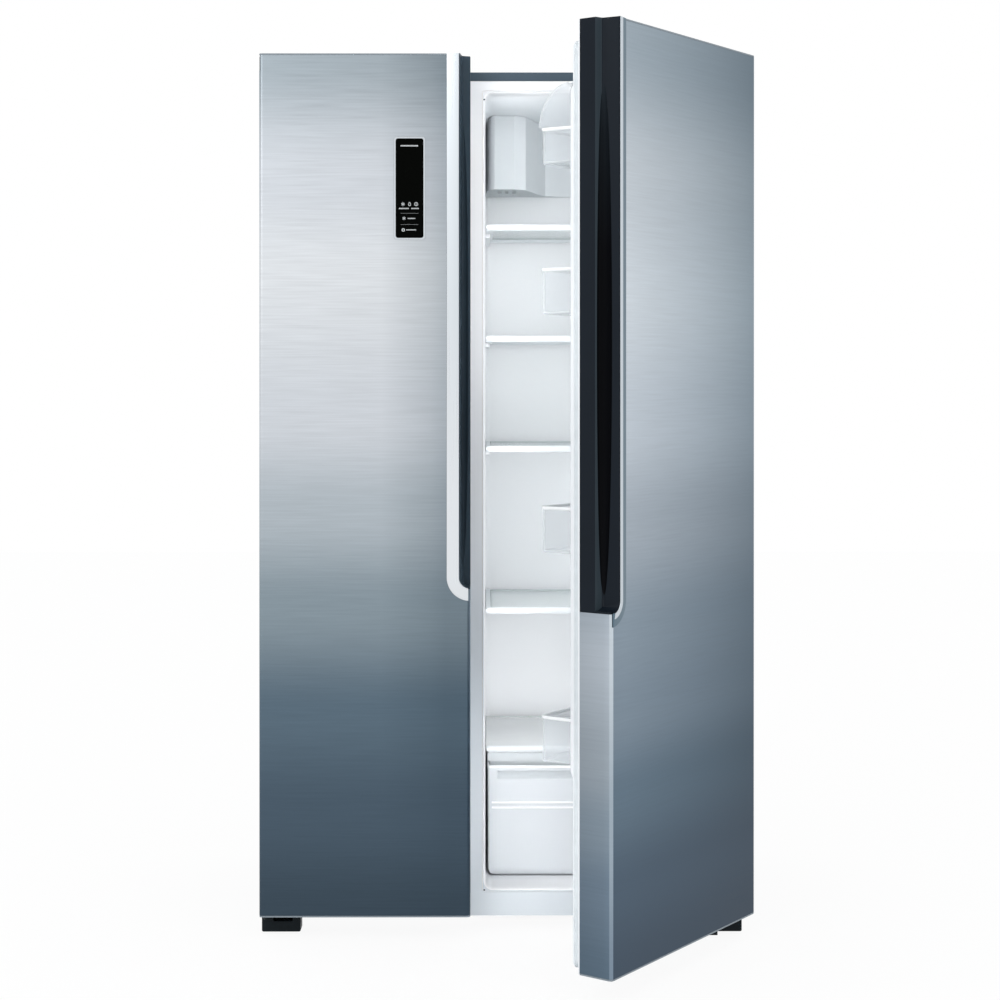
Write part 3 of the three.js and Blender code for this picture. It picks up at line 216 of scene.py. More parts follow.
def paintedShadeLiner():
    # nearly white at the mouth, a little greyer with depth and height: painted shade
    liner = pressedSheet("vacuum formed liner", (246, 247, 249))
    tones = ((1.35, (246, 247, 249)), (1.5, (243, 245, 247)), (1.63, (234, 237, 240)))
    depth = liner.mapped(liner.axis("Y"), -0.08, 0.06)
    return liner.painted(liner.mixed(depth, linear(254, 254, 255), liner.heightTones(tones, "EASE")))


def families():
    # the steels, and finishes that differ only in colour, gloss or alpha
    made = {"steel_" + name: brushedSteel("brushed steel " + name, steel) for name, steel in steels.items()}
    lines = (1.0, (300, 300, 4))
    # the open door's trim takes a darker copy of the silver, and the outer part of that trim a much darker one:
    # painted shade
    for key, colour in (("silver", (219, 224, 228)), ("silver_open", (198, 206, 213)),
                        ("silver_shaded", (98, 118, 131))):
        satin = Finish(key.replace("_", " ") + " satin", colour, 0.3, 1)
        made[key] = satin.spread(0.26, 0.34, *lines).mottle(0.02, *lines)
    # painted light and shade: the shut door's handle takes a lighter copy of the open door's black, a lighter
    # black paints a highlight on the open door's rebate floor, and a near-black paints the shade in its finger
    # scoop
    for key, colour, gloss in (("black_plastic", (19, 26, 34), 0.1), ("black_shaded", (52, 65, 75), 0.1),
                               ("black_deep", (14, 16, 19), 0.02), ("black_floor", (46, 56, 63), 0.1)):
        black = Finish(key.replace("_", " "), colour, 0.34, Specular_IOR_Level=gloss)
        made[key] = black.spread(0.3, 0.4, 60).mottle(0.06, 9)
    for key, colour in (("grey_plastic", (76, 84, 89)), ("door_cap", (126, 136, 144))):
        cap = Finish(key.replace("_", " "), colour, 0.5)
        made[key] = cap.mottle(0.06, 40).bump(0.25, 0.00008, 2200, detail=1.0)
    # the second, greyer white is a copy of the first for painted shade on the duct cover's front, the crisper
    # apron and the drawers' finger grooves
    for key, colour in (("white_plastic", (225, 229, 232)), ("duct_plastic", (211, 216, 219))):
        white = Finish(key.replace("_", " "), colour, 0.4).mottle(0.015, 5).spread(0.34, 0.46, 30)
        made[key] = white.bump(0.06, 0.00005, 1500, detail=1.0)
    # the second, nearly opaque white paints a highlight on the bins' rims and the lid's edges
    for key, colour, alpha in (("clear_plastic", (230, 236, 241), 0.2), ("clear_edge", (250, 252, 253), 0.85),
                               ("clear_wall", (236, 241, 244), 0.4), ("clear_cover", (250, 252, 253), 0.88)):
        clear = Finish(key.replace("_", " "), colour, 0.1, Alpha=alpha)
        made[key] = clear.mottle(0.02, 6).spread(0.06, 0.16, 25)
    # the second, bright plastic paints a highlight on the drawers' raised lines and the front of their rims
    for key, colour, alpha in (("frosted", (230, 234, 238), 0.86), ("frosted_line", (253, 253, 254), 1.0)):
        frosted = Finish(key.replace("_", " ") + " plastic", colour, 0.3, Alpha=alpha)
        made[key] = frosted.mottle(0.02, 6).bump(0.1, 0.0001, 1200)
    return made


finishes = families() | {
    "black_glass": Finish("black glass", (2, 3, 2), 0.06, Specular_IOR_Level=0.025)
        .spread(0.03, 0.08, 25).mottle(0.1, 5),
    "grey_paint": Finish("grey case paint", (62, 77, 89), 0.45, Specular_IOR_Level=0.3)
        .mottle(0.02, 240, detail=2.0).bump(0.12, 0.0002, 650, detail=1.0).spread(0.44, 0.48, 120),
    "white_paint": Finish("white frame paint", (250, 251, 252), 0.35).bump(0.08, 0.0001, 650, detail=1.0),
    "white_liner": paintedShadeLiner(),
    "door_liner": pressedSheet("door liner", (233, 236, 240)).mottle(0.02, 3),
    "gasket": Finish("soft gasket rubber", (223, 228, 231), 0.75).mottle(0.03, 60).bump(0.2, 0.0001, 1600),
    "tough_glass": Finish("toughened glass", (226, 237, 237), 0.03, Alpha=0.42).mottle(0.02, 4),
    "print": Finish("printed marks", (205, 209, 211), 0.5).mottle(0.05, 300),
    "foam": Finish("blown foam", (232, 219, 176), 0.9).mottle(0.12, 120).bump(0.6, 0.001, 300),
    "zinc": Finish("zinc plated steel", (186, 191, 196), 0.38, 1)
        .mottle(0.12, 110, detail=0.0, kind="Voronoi").spread(0.3, 0.46, 80),
    "black_paint": Finish("satin black paint", (20, 27, 31), 0.42, Specular_IOR_Level=0.1)
        .mottle(0.12, 20).bump(0.12, 0.0002, 700, detail=1.0),
    "aluminium": Finish("mill aluminium", (200, 205, 209), 0.35, 1).mottle(0.08, 1.0, (20, 20, 500)),
}
# painted light and shade by height: the silver darkens upwards as a painted reflection, the finger scoop's black
# lightens towards its top, and the white frame darkens towards the floor and again at the very top
heights = {  # finishes whose colour changes with height, as ((height, colour), ...) and easing
    "silver": (((0.55, (226, 230, 233)), (0.85, (224, 228, 232)), (1.2, (210, 216, 221)),
                (1.69, (192, 198, 203))), "LINEAR"),
    "black_deep": (((1.3, (13, 14, 17)), (1.5, (24, 29, 34)), (1.63, (38, 45, 51))), "LINEAR"),
    "white_paint": (((0.03, (216, 222, 227)), (0.4, (228, 234, 239)), (0.95, (250, 251, 253)),
                     (1.5, (252, 252, 253)), (1.66, (236, 238, 241))), "EASE"),
}
for key, (stops, easing) in heights.items():
    finishes[key].painted(finishes[key].heightTones(stops, easing))
slotOf = {"frosted": "clear_plastic", "clear_cover": "clear_plastic", "black_shaded": "black_plastic",
          "door_cap": "grey_plastic", "silver_open": "silver", "print": "silver",
          "duct_plastic": "white_plastic", "door_liner": "white_liner"}
slotOf |= {"steel_" + name: "steel" for name in steels}
print("materials ready")


# mesh helpers, sizes in millimetres

def linked(name, data):
    piece = bpy.data.objects.new(name, data)
    scene.collection.objects.link(piece)
    return piece


def meshPiece(name, points, faces):
    mesh = bpy.data.meshes.new(name)
    mesh.from_pydata([[c * mm for c in point] for point in points], [], faces)
    return linked(name, mesh)


def reworked(piece, *steps):
    # steps are (bmesh operation, what it works on, its settings)
    made = bmesh.new()
    made.from_mesh(piece.data)
    for operation, parts, settings in steps:
        operation(made, **{part: getattr(made, part) for part in parts}, **settings)
    made.to_mesh(piece.data)
    made.free()
    return piece


def tidy(piece, distance=0.002):
    # merges doubled points and turns every face outwards
    return reworked(piece, (bmesh.ops.remove_doubles, ["verts"], {"dist": distance * mm}),
                    (bmesh.ops.dissolve_degenerate, ["edges"], {"dist": distance * mm}),
                    (bmesh.ops.recalc_face_normals, ["faces"], {}))


def loft(name, rings):
    # a skin over rings of equal length, closed at both ends
    count, length = len(rings), len(rings[0])
    points = [point for ring in rings for point in ring]
    faces = []
    for a in range(0, (count - 1) * length, length):
        b = a + length
        faces += [(a + j, a + (j + 1) % length, b + (j + 1) % length, b + j) for j in range(length)]
    faces += [tuple(range(length)), tuple(range((count - 1) * length, count * length))]
    return tidy(meshPiece(name, points, faces))


def turns(end, steps, start=0.0):
    # even steps from one angle to another
    return [start + (end - start) * k / steps for k in range(steps + 1)]


def quarterRound(steps):
    # shares of a fillet's size: (sideways still to go, upwards gone)
    return [(1 - math.sin(t), 1 - math.cos(t)) for t in turns(math.pi / 2, steps)]


def circle(steps):
    return [(math.cos(t), math.sin(t)) for t in turns(2 * math.pi, steps)[:-1]]


def outline(corners, radius=0, steps=8):
    # flat outline whose corners are round; a corner may give its own radius
    points = []
    for i, (a, b, *own) in enumerate(corners):
        here = Vector((a, b))
        u = Vector(corners[i - 1][:2]) - here
        v = Vector(corners[(i + 1) % len(corners)][:2]) - here
        r = own[0] if own else radius
        if r <= 0 or u.length < 1e-6 or v.length < 1e-6:
            points += [(a, b)] * (steps + 1)
            continue
        u.normalize()
        v.normalize()
        half = u.angle(v) / 2
        reach = r / math.tan(half)
        centre = here + (u + v).normalized() * (r / math.sin(half))
        start, end = here + u * reach - centre, here + v * reach - centre
        sweep = start.angle_signed(end)
        points += [tuple(centre + Matrix.Rotation(-sweep * k / steps, 2) @ start) for k in range(steps + 1)]
    return points


def rectangle(a0, a1, b0, b1, radius=0, steps=8):
    return outline([(a0, b0), (a1, b0), (a1, b1), (a0, b1)], radius, steps)


def placed(shape, axis, level):
    # a flat outline stood across an axis
    at = "xyz".index(axis)
    return [(*spot[:at], level, *spot[at:]) for spot in shape]


def prism(name, axis, shape, start, end):
    return loft(name, [placed(shape, axis, start), placed(shape, axis, end)])


def boxPiece(name, x0, x1, y0, y1, z0, z1):
    return prism(name, "z", [(x0, y0), (x1, y0), (x1, y1), (x0, y1)], z0, z1)


def evaluated(piece):
    return bpy.data.meshes.new_from_object(piece.evaluated_get(bpy.context.evaluated_depsgraph_get()))


def settle(piece):
    # turns the live modifiers into plain mesh
    result, old = evaluated(piece), piece.data
    piece.modifiers.clear()
    piece.data = result
    result.name = piece.name
    bpy.data.meshes.remove(old)
    return piece


def combine(piece, tools, operation):
    for tool in tools:
        step = piece.modifiers.new(operation.lower(), "BOOLEAN")
        step.operation = operation
        step.solver = "EXACT"
        step.object = tool
        settle(piece)
        discard(tool)
    return tidy(piece)


def carve(piece, *tools):
    return combine(piece, tools, "DIFFERENCE")


def unite(piece, *tools):
    return combine(piece, tools, "UNION")


def discard(*pieces):
    for piece in pieces:
        mesh = piece.data
        bpy.data.objects.remove(piece)
        if mesh.users == 0:
            bpy.data.meshes.remove(mesh)


def gather(name, pieces):
    # several meshes as one object
    made = bmesh.new()
    for piece in pieces:
        made.from_mesh(piece.data)
    mesh = bpy.data.meshes.new(name)
    made.to_mesh(mesh)
    made.free()
    discard(*pieces)
    return linked(name, mesh)


def roundEdges(piece, width, segments=3, angle=32):
    bevel = piece.modifiers.new("round edges", "BEVEL")
    bevel.width = width * mm
    bevel.segments = segments
    bevel.limit_method = "ANGLE"
    bevel.angle_limit = math.radians(angle)
    bevel.miter_outer = "MITER_ARC"
    return settle(piece)


def finished(piece, finish, *nodes, body=None, angle=42):
    # shading, material and the body that carries the piece
    mesh = piece.data
    mesh.materials.clear()
    mesh.materials.append(finishes[finish].material)
    mesh.shade_smooth()
    mesh.set_sharp_from_angle(angle=math.radians(angle))
    weight = piece.modifiers.new("flat faces stay flat", "WEIGHTED_NORMAL")
    weight.keep_sharp = True
    settle(piece)
    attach(piece, body or bodyOf[nodes[0]])
    if nodes:
        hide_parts(*nodes)
    return piece


def tinted(piece, finish, chosen, door=None):
    # another finish on some faces, chosen by their middle and normal with the door shut
    mesh = piece.data
    mesh.materials.append(finishes[finish].material)
    turn = door["shut"] if door else Matrix()
    for face in mesh.polygons:
        if chosen(turn @ (face.center / mm), turn.to_3x3() @ face.normal):
            face.material_index = len(mesh.materials) - 1
    return piece


def merged(node):
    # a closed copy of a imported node, its flat faces whole again
    source = frame["nodes"][node].data
    points = [v.co / mm for v in source.vertices]
    piece = tidy(meshPiece(node + "_piece", points, [tuple(f.vertices) for f in source.polygons]), 0.001)
    return reworked(piece, (bmesh.ops.dissolve_limit, ["verts", "edges"], {"angle_limit": math.radians(0.5)}))


def refined(node, finish, width, segments=2, angle=32):
    return finished(roundEdges(merged(node), width, segments, angle), finish, node)


def corners(node, shut=None):
    # lowest and highest corner of a node, a door's own once it is swung shut
    spots = [v.co / mm for v in frame["nodes"][node].data.vertices]
    if shut:
        spots = [shut @ spot for spot in spots]
    return [Vector([pick(spot[i] for spot in spots) for i in range(3)]) for pick in (min, max)]


# doors are built shut and then swung to where they stand

def doorFrame(name):
    build = {"linerPlate": 3, "hingeGap": 1}
    joint = joints[name + "_door_hinge"]
    pin = Vector(joint["pos_m"]) / mm
    turn = Matrix.Rotation(math.radians(-joint["range_deg"][0]), 4, Vector(joint["axis"]))
    opened = Matrix.Translation(pin) @ turn @ Matrix.Translation(-pin)
    shut = opened.inverted()
    low, high = corners(name + "_door_body", shut)
    linerLow, linerHigh = corners(name + "_door_liner", shut)
    hand = 1 if pin.x > 0 else -1
    return {"name": name, "hand": hand, "opened": opened, "shut": shut,
            "edge": low.x if hand > 0 else high.x, "width": high.x - low.x,
            "front": low.y, "skinBack": high.y, "linerFace": linerLow.y + build["linerPlate"],
            "dykeFace": linerHigh.y, "low": low.z, "high": high.z,
            "notch": corners("hinge_cover_left")[0].z - build["hingeGap"]}


def across(door, inward):
    # a place across a door, measured in from its handle edge
    return door["edge"] + door["hand"] * inward


def swung(piece, door):
    matrix = door["opened"].copy()
    matrix.translation = matrix.translation * mm
    piece.data.transform(matrix)
    return piece


def slabAcross(door, name, u0, u1, y0, y1, z0, z1):
    return boxPiece(name, across(door, u0), across(door, u1), y0, y1, z0, z1)


def handleSizes(door):
    # the trim's own box gives the reach and the centre of the handle's round lower end
    moulding = {"capHeight": 3.3, "setback": 1.5}
    low, high = corners(door["name"] + "_handle_trim", door["shut"])
    near, reach = sorted(abs(x - door["edge"]) for x in (low.x, high.x))
    block = corners(door["name"] + "_handle", door["shut"])
    return {"reach": reach, "near": near, "centre": low.z + math.sqrt(reach ** 2 - near ** 2),
            "top": high.z, "capLow": high.z - moulding["capHeight"], "low": block[0].z,
            "front": door["front"] + moulding["setback"], "back": block[1].y,
            "block": block[1].x - block[0].x}


def roundZone(door, name, reach, start, end):
    # everything near the handle edge, with a quarter round lower end
    centre, top = handleSizes(door)["centre"], door["high"] + beyond
    arc = [(across(door, reach * math.sin(t)), centre - reach * math.cos(t)) for t in turns(math.pi / 2, 28)]
    shape = [(across(door, -beyond), centre - reach)] + arc
    return prism(name, "y", shape + [(across(door, reach), top), (across(door, -beyond), top)], start, end)


def doorSkin(door):
    # one folded sheet: front and both sides, round at the two upright corners
    skin = {"sheet": 1.2, "corner": 7, "steps": 12, "gap": 0.3, "displayCorner": 6.8}
    node = door["name"] + "_door_panel"
    low, high = corners(node, door["shut"])
    handle = handleSizes(door)
    front, back, top = door["front"] - beyond, door["skinBack"] + beyond, door["high"] + beyond

    def fold(inset):
        near, far = across(door, inset), across(door, door["width"] - inset)
        face = door["front"] + inset
        return outline([(near, high.y, 0), (near, face), (far, face), (far, high.y, 0)],
                       skin["corner"] - inset, skin["steps"])

    sheet = prism(node + "_skin", "z", fold(0) + fold(skin["sheet"])[::-1], low.z, high.z)
    gap, width = skin["gap"], door["width"]
    tools = [slabAcross(door, "side", -beyond, skin["corner"] + 1, front, back, handle["low"] - gap, top),
             roundZone(door, "zone", handle["reach"] + gap, front, door["front"] + skin["sheet"] + gap),
             slabAcross(door, "notch", width - beyond, width + beyond, front, back, door["notch"], top)]
    if door["name"] == "freezer":
        first, last = corners("display_panel")
        tools.append(prism("display", "y", rectangle(first.x - gap, last.x + gap, first.z - gap, last.z + gap,
                                                     skin["displayCorner"]), front, last.y))
    carve(sheet, *tools)
    piece = finished(swung(sheet, door), "steel_" + door["name"], node, angle=30)
    # painted reflection and highlight: the side face at the handle edge takes its own steel tones, plain ones on
    # the freezer door, and on the fridge door tones that lighten towards the front, with a lighter rounded corner
    if door["name"] == "freezer":
        return tinted(piece, "steel_plain", lambda middle, normal: normal.x > 0.7, door)
    tinted(piece, "steel_edge", lambda middle, normal: normal.x < -0.95, door)
    return tinted(piece, "steel_corner", lambda middle, normal: -0.95 <= normal.x < -0.3 and normal.y < 0,
                  door)


def doorHandle(door):
    # black moulding: a rebate with a sloping wall and a raised lip, and a long lens shaped finger scoop
    grip = {"width": 19.5, "floor": 15.5, "depth": 29, "edgeDepth": 34, "corner": 5, "lip": 1.5,
            "lipProud": 4, "scoop": (12, 15, 445), "scoopInset": 14, "scoopBack": 25, "scoopFoot": 24,
            "edge": 1.0, "lipEdge": 0.5, "ahead": 9, "overlap": 2}
    node = door["name"] + "_handle"
    handle = handleSizes(door)
    front, back, low, top = door["front"], handle["back"], handle["low"], handle["top"]
    ahead = front - grip["ahead"]
    block = slabAcross(door, node + "_moulding", 0, handle["block"], handle["front"], back, low,
                       handle["capLow"])
    cap = slabAcross(door, "cap", 0, handle["reach"], handle["front"], back,
                     handle["capLow"] - grip["overlap"], top)
    lip = roundZone(door, "lip", grip["width"] + grip["lip"], front - grip["lipProud"],
                    handle["front"] + grip["overlap"])
    span = slabAcross(door, "span", handle["near"], handle["block"], ahead, back, low, top)
    combine(lip, [span], "INTERSECT")
    unite(block, cap)
    roundEdges(block, grip["edge"], 3, 40)
    unite(block, lip)
    plan = [(-beyond, ahead, 0), (grip["width"], ahead, 0), (grip["width"], front, 0),
            (grip["floor"], front + grip["depth"]), (0, front + grip["edgeDepth"], 0),
            (-beyond, front + grip["edgeDepth"], 0)]
    rebate = prism("rebate", "z", outline([(across(door, u), *more) for u, *more in plan], grip["corner"]),
                   low - beyond, top + beyond)
    combine(rebate, [roundZone(door, "zone", grip["width"], ahead, back)], "INTERSECT")
    rx, ry, rz = grip["scoop"]
    middle = (across(door, grip["scoopInset"]), front + grip["scoopBack"], low + grip["scoopFoot"] + rz)
    x, y, z = middle
    rings = [[(x + rx * math.sin(t) * c, y + ry * math.sin(t) * s, z - rz * math.cos(t))
              for c, s in circle(40)] for t in turns(math.pi * 0.998, 48, math.pi * 0.002)]
    carve(block, rebate, loft("scoop", rings))
    roundEdges(block, grip["lipEdge"], 2, 48)
    # the shut door's handle takes a lighter black than the open door's: painted light
    finish = "black_plastic" if door["hand"] > 0 else "black_shaded"
    piece = finished(swung(block, door), finish, node, angle=50)

    def floored(centre, normal):
        return (normal.y < -0.8 and centre.y > front + grip["depth"] - 1
                and abs(centre.x - door["edge"]) < grip["floor"])

    def scooped(centre, normal):
        slope = Vector([(c - m) / r ** 2 for c, m, r in zip(centre, middle, (rx, ry, rz))])
        depth = sum(((c - m) / r) ** 2 for c, m, r in zip(centre, middle, (rx, ry, rz)))
        return 0.9 < depth < 1.04 and normal.dot(slope.normalized()) < -0.97

    # on the open door, the rebate floor takes a lighter black as a painted highlight, and the finger scoop a
    # near-black as painted shade
    if door["hand"] > 0:
        tinted(piece, "black_floor", floored, door)
        tinted(piece, "black_deep", scooped, door)
    return piece


# node trees that sweep a section and set out copies

def treeOf(title, inputs, steps, links):
    # a tree with named inputs, and the identifiers that a modifier sets them by
    tree = bpy.data.node_groups.new(title, "GeometryNodeTree")
    sockets = {}
    for name, kind in (inputs | {"Finish": "Material"}).items():
        socket = tree.interface.new_socket(name=name, in_out="INPUT", socket_type="NodeSocket" + kind)
        sockets[name] = socket.identifier
    tree.interface.new_socket(name="Geometry", in_out="OUTPUT", socket_type="NodeSocketGeometry")
    kinds = {"start": "NodeGroupInput", "end": "NodeGroupOutput"}
    kinds |= {name: "GeometryNode" + kind for name, kind in steps.items()}
    nodes = {name: tree.nodes.new(kind) for name, kind in kinds.items()}
    for source, output, target, socket in links + [
            ("realize", 0, "paint", 0), ("start", "Finish", "paint", "Material"), ("paint", 0, "end", 0)]:
        tree.links.new(nodes[source].outputs[output], nodes[target].inputs[socket])
    return tree, sockets, nodes


def sweepTree():
    # a section drawn along a level path
    tree, sockets, nodes = treeOf(
        "sweep along path", {"Geometry": "Geometry", "Section": "Object", "Fill Caps": "Bool"},
        {"section": "ObjectInfo", "level": "SetCurveNormal", "sweep": "CurveToMesh",
         "realize": "RealizeInstances", "paint": "SetMaterial"}, [
            ("start", "Section", "section", "Object"), ("start", "Geometry", "level", "Curve"),
            ("level", 0, "sweep", "Curve"), ("section", "Geometry", "sweep", "Profile Curve"),
            ("start", "Fill Caps", "sweep", "Fill Caps"), ("sweep", 0, "realize", 0)])
    nodes["level"].mode = "Z_UP"
    return tree, sockets


def repeatTree():
    # copies of a shape over a grid of even steps
    return treeOf(
        "repeat over grid", {"Geometry": "Geometry", "Columns": "Int", "Rows": "Int", "Start": "Vector",
                             "Column Step": "Vector", "Row Step": "Vector"},
        {"column": "MeshLine", "row": "MeshLine", "crossing": "InstanceOnPoints", "spots": "RealizeInstances",
         "copies": "InstanceOnPoints", "realize": "RealizeInstances", "paint": "SetMaterial"}, [
            ("start", "Columns", "column", "Count"), ("start", "Start", "column", "Start Location"),
            ("start", "Column Step", "column", "Offset"), ("start", "Rows", "row", "Count"),
            ("start", "Row Step", "row", "Offset"), ("column", 0, "crossing", "Points"),
            ("row", 0, "crossing", "Instance"), ("crossing", 0, "spots", 0), ("spots", 0, "copies", "Points"),
            ("start", "Geometry", "copies", "Instance"), ("copies", 0, "realize", 0)])[:2]


sweepNodes, repeatNodes = sweepTree(), repeatTree()


def grown(piece, recipe, finish, inputs):
    # puts a node tree on a piece and sets its inputs
    tree, sockets = recipe
    modifier = piece.modifiers.new(tree.name, "NODES")
    modifier.node_group = tree
    for name, value in (inputs | {"Finish": finishes[finish].material}).items():
        modifier[sockets[name]] = value
    return piece


def pathCurve(name, points, closed):
    curve = bpy.data.curves.new(name, "CURVE")
    curve.dimensions = "3D"
    spline = curve.splines.new("POLY")
    spline.points.add(len(points) - 1)
    for knot, (a, b) in zip(spline.points, points):
        knot.co = (a * mm, b * mm, 0, 1)
    spline.use_cyclic_u = closed
    return linked(name, curve)


def swept(name, path, section, finish, closed=False):
    # section points are (to the right of the path, below its plane)
    route, shape = pathCurve(name, path, closed), pathCurve(name + "_section", section, True)
    mesh = evaluated(grown(route, sweepNodes, finish, {"Section": shape, "Fill Caps": not closed}))
    bpy.data.objects.remove(route)
    bpy.data.objects.remove(shape)
    return linked(name, mesh)


def repeated(piece, columns, rows, start, columnStep, rowStep, finish):
    # the piece's own mesh, drawn at the origin, set out over a grid
    places = {"Start": start, "Column Step": columnStep, "Row Step": rowStep}
    inputs = {name: [c * mm for c in place] for name, place in places.items()}
    return settle(grown(piece, repeatNodes, finish, {"Columns": columns, "Rows": rows} | inputs))


def upright(piece, level):
    # stands a level sweep up in the plane of a door's front, its underside facing out
    for vertex in piece.data.vertices:
        a, b, c = vertex.co
        vertex.co = (a, level * mm + c, b)
    return tidy(piece, 0.001)


def handleTrim(door):
    # silver wedge that sweeps round the handle's lower end and slopes back to the panel
    trim = {"width": 24, "inner": 4.4, "outer": 0.8, "sunk": 1.2, "innerEdge": 1.0, "outerEdge": 0.6,
            "crown": 0.3, "steps": 32, "shade": 0.58, "start": 0.9, "spare": 20}
    node = door["name"] + "_handle_trim"
    handle = handleSizes(door)
    hand, front, half = door["hand"], door["front"], trim["width"] / 2
    middle = handle["reach"] - half
    first = math.asin(handle["near"] / handle["reach"]) * trim["start"]
    path = [(across(door, middle), handle["top"])]
    path += [(across(door, middle * math.sin(t)), handle["centre"] - middle * math.cos(t))
             for t in turns(first, trim["steps"], math.pi / 2)]

    def bend(side, edge, proud):
        return [(side * (half - edge * up), proud - edge * out) for out, up in quarterRound(4)]

    # the fold splits the trim's face where the painted shade on the open door's trim starts
    turn = trim["width"] * trim["shade"]
    fold = (half - turn, trim["inner"] + (trim["outer"] - trim["inner"]) * (1 - trim["shade"]))
    face = [(-half, -trim["sunk"])] + bend(-1, trim["innerEdge"], trim["inner"]) + [fold]
    face += bend(1, trim["outerEdge"], trim["outer"])[::-1] + [(half, -trim["sunk"])]
    rise = [(a, b + trim["crown"] * (1 - (a / half) ** 2) if b > 0 else b) for a, b in face]
    # across the path is outwards on the left door and inwards on the right one
    strip = upright(swept(node + "_strip", path, [(-hand * a, b) for a, b in rise], "silver"), front)
    spare, centre = trim["spare"], handle["centre"]
    carve(strip, slabAcross(door, "end", -spare, handle["near"], front - spare, front + spare,
                            centre - handle["reach"] - spare, centre))
    # the open door's trim takes the darker silver, a painted shade
    piece = finished(swung(strip, door), "silver_open" if hand > 0 else "silver", node, angle=50)

    # on the open door, the trim's outer part and its end faces take a much darker silver: painted shade
    def outside(centre, normal):
        aside = abs(centre.x - door["edge"])
        reach = aside if centre.z > handle["centre"] else math.hypot(aside, centre.z - handle["centre"])
        return reach > handle["reach"] - turn or normal.x * hand < -0.9

    return tinted(piece, "silver_shaded", outside, door) if hand > 0 else piece


def doorGasket(door):
    # bellows: a base, a folded neck and the magnet head that meets the cabinet
    seal = {"half": 7, "radius": 9, "steps": 8, "head": 1.2}
    node = door["name"] + "_door_gasket"
    low, high = corners(node, door["shut"])
    depth, half = high.y - low.y, seal["half"]
    path = rectangle(low.x + half, high.x - half, low.z + half, high.z - half, seal["radius"], seal["steps"])
    folds = [(0, 0), (0, 1.6), (1.2, 3.2), (3.4, 4.2), (3.0, 5.4), (1.2, 6.4), (3.0, 7.4), (3.4, 9.0),
             (1.0, 9.9), (0.1, 10.8), (0.1, depth - seal["head"]), (seal["head"], depth)]
    side = [(half - inset, -height) for inset, height in folds]
    path = [point for i, point in enumerate(path) if point != path[i - 1]]
    ring = swept(node + "_seal", path, side + [(-a, b) for a, b in side[::-1]], "gasket", closed=True)
    return finished(swung(upright(ring, low.y), door), "gasket", node, angle=35)


def doorRing(door, u0, u1, z0, z1, radius, level, sides, steps=8):
    # a rounded rectangle on a door with extra points up both sides
    shape = rectangle(u0, u1, z0, z1, radius, steps)
    half = 2 * (steps + 1)
    shape = shape[:half] + [(u1, z) for z in sides] + shape[half:] + [(u0, z) for z in reversed(sides)]
    return [(across(door, u), level, z) for u, z in shape]


def doorLiner(door):
    # pressed plate with a rounded dyke all round, lower near the floor
    press = {"handleInset": 40, "hingeInset": 53, "topInset": 96, "bottomInset": 48, "corner": 24, "land": 24,
             "foot": 5, "crest": 7, "draft": 3, "edge": 0.9, "lowDepth": 38, "lowTop": 330, "ease": 8,
             "notch": 33.1, "gap": 0.3, "plate": 3, "tightest": 4, "spare": 20}
    node = door["name"] + "_door_liner"
    face, depth = door["linerFace"], door["dykeFace"] - door["linerFace"]
    u0, u1 = press["handleInset"], door["width"] - press["hingeInset"]
    z0, z1 = door["low"] + press["bottomInset"], door["high"] - press["topInset"]
    turn, lowShare = door["low"] + press["lowTop"], press["lowDepth"] / depth
    ease = press["ease"]
    sides = [turn + share * ease for share in (-2.5, -1, 0, 1, 2.5)]
    foot, crest, land, draft = (press[key] for key in ("foot", "crest", "land", "draft"))

    def plate(inset, level):
        gap = press["gap"] + inset
        return doorRing(door, gap, door["width"] - gap, door["low"] + inset, door["high"] - inset,
                        press["plate"], level, sides)

    def ring(inset, level):
        return doorRing(door, u0 + inset, u1 - inset, z0 + inset, z1 - inset,
                        max(press["corner"] - inset, press["tightest"]), level, sides)

    bend = quarterRound(5)
    rings = [plate(0, face - press["plate"]), plate(0, face - press["edge"]), plate(press["edge"], face)]
    rings += [ring(-foot * out, face + foot * up) for out, up in bend]
    rings += [ring(draft + crest * up, face + depth - crest * out) for out, up in bend]
    rings += [ring(land - draft - crest * up, face + depth - crest * out) for out, up in bend[::-1]]
    rings += [ring(land + foot * up, face + foot * out) for out, up in bend[:-1]] + [ring(land + foot, face)]
    rings = [[(x, face + (y - face) * lowered(z, turn, ease, lowShare) if y > face else y, z)
              for x, y, z in points] for points in rings]
    body = loft(node + "_pressing", rings)
    carve(body, slabAcross(door, "notch", door["width"] - press["notch"], door["width"] + beyond,
                           door["front"] - beyond, face + press["spare"], door["notch"],
                           door["high"] + beyond))
    return finished(swung(gather(node + "_pressed", [body] + binSeats(door, press)), door),
                    "door_liner", node, angle=55)


def lowered(z, turn, ease, share):
    # share of the dyke's depth at a height, easing from low to full
    t = min(max((z - turn + ease) / (2 * ease), 0), 1)
    return share + (1 - share) * t * t * (3 - 2 * t)


def binsOf(door):
    nodes = [f"{door['name']}_door_bin_{i}" for i in (1, 2, 3)]
    return nodes + (["dairy_bin"] if door["name"] == "fridge" else [])


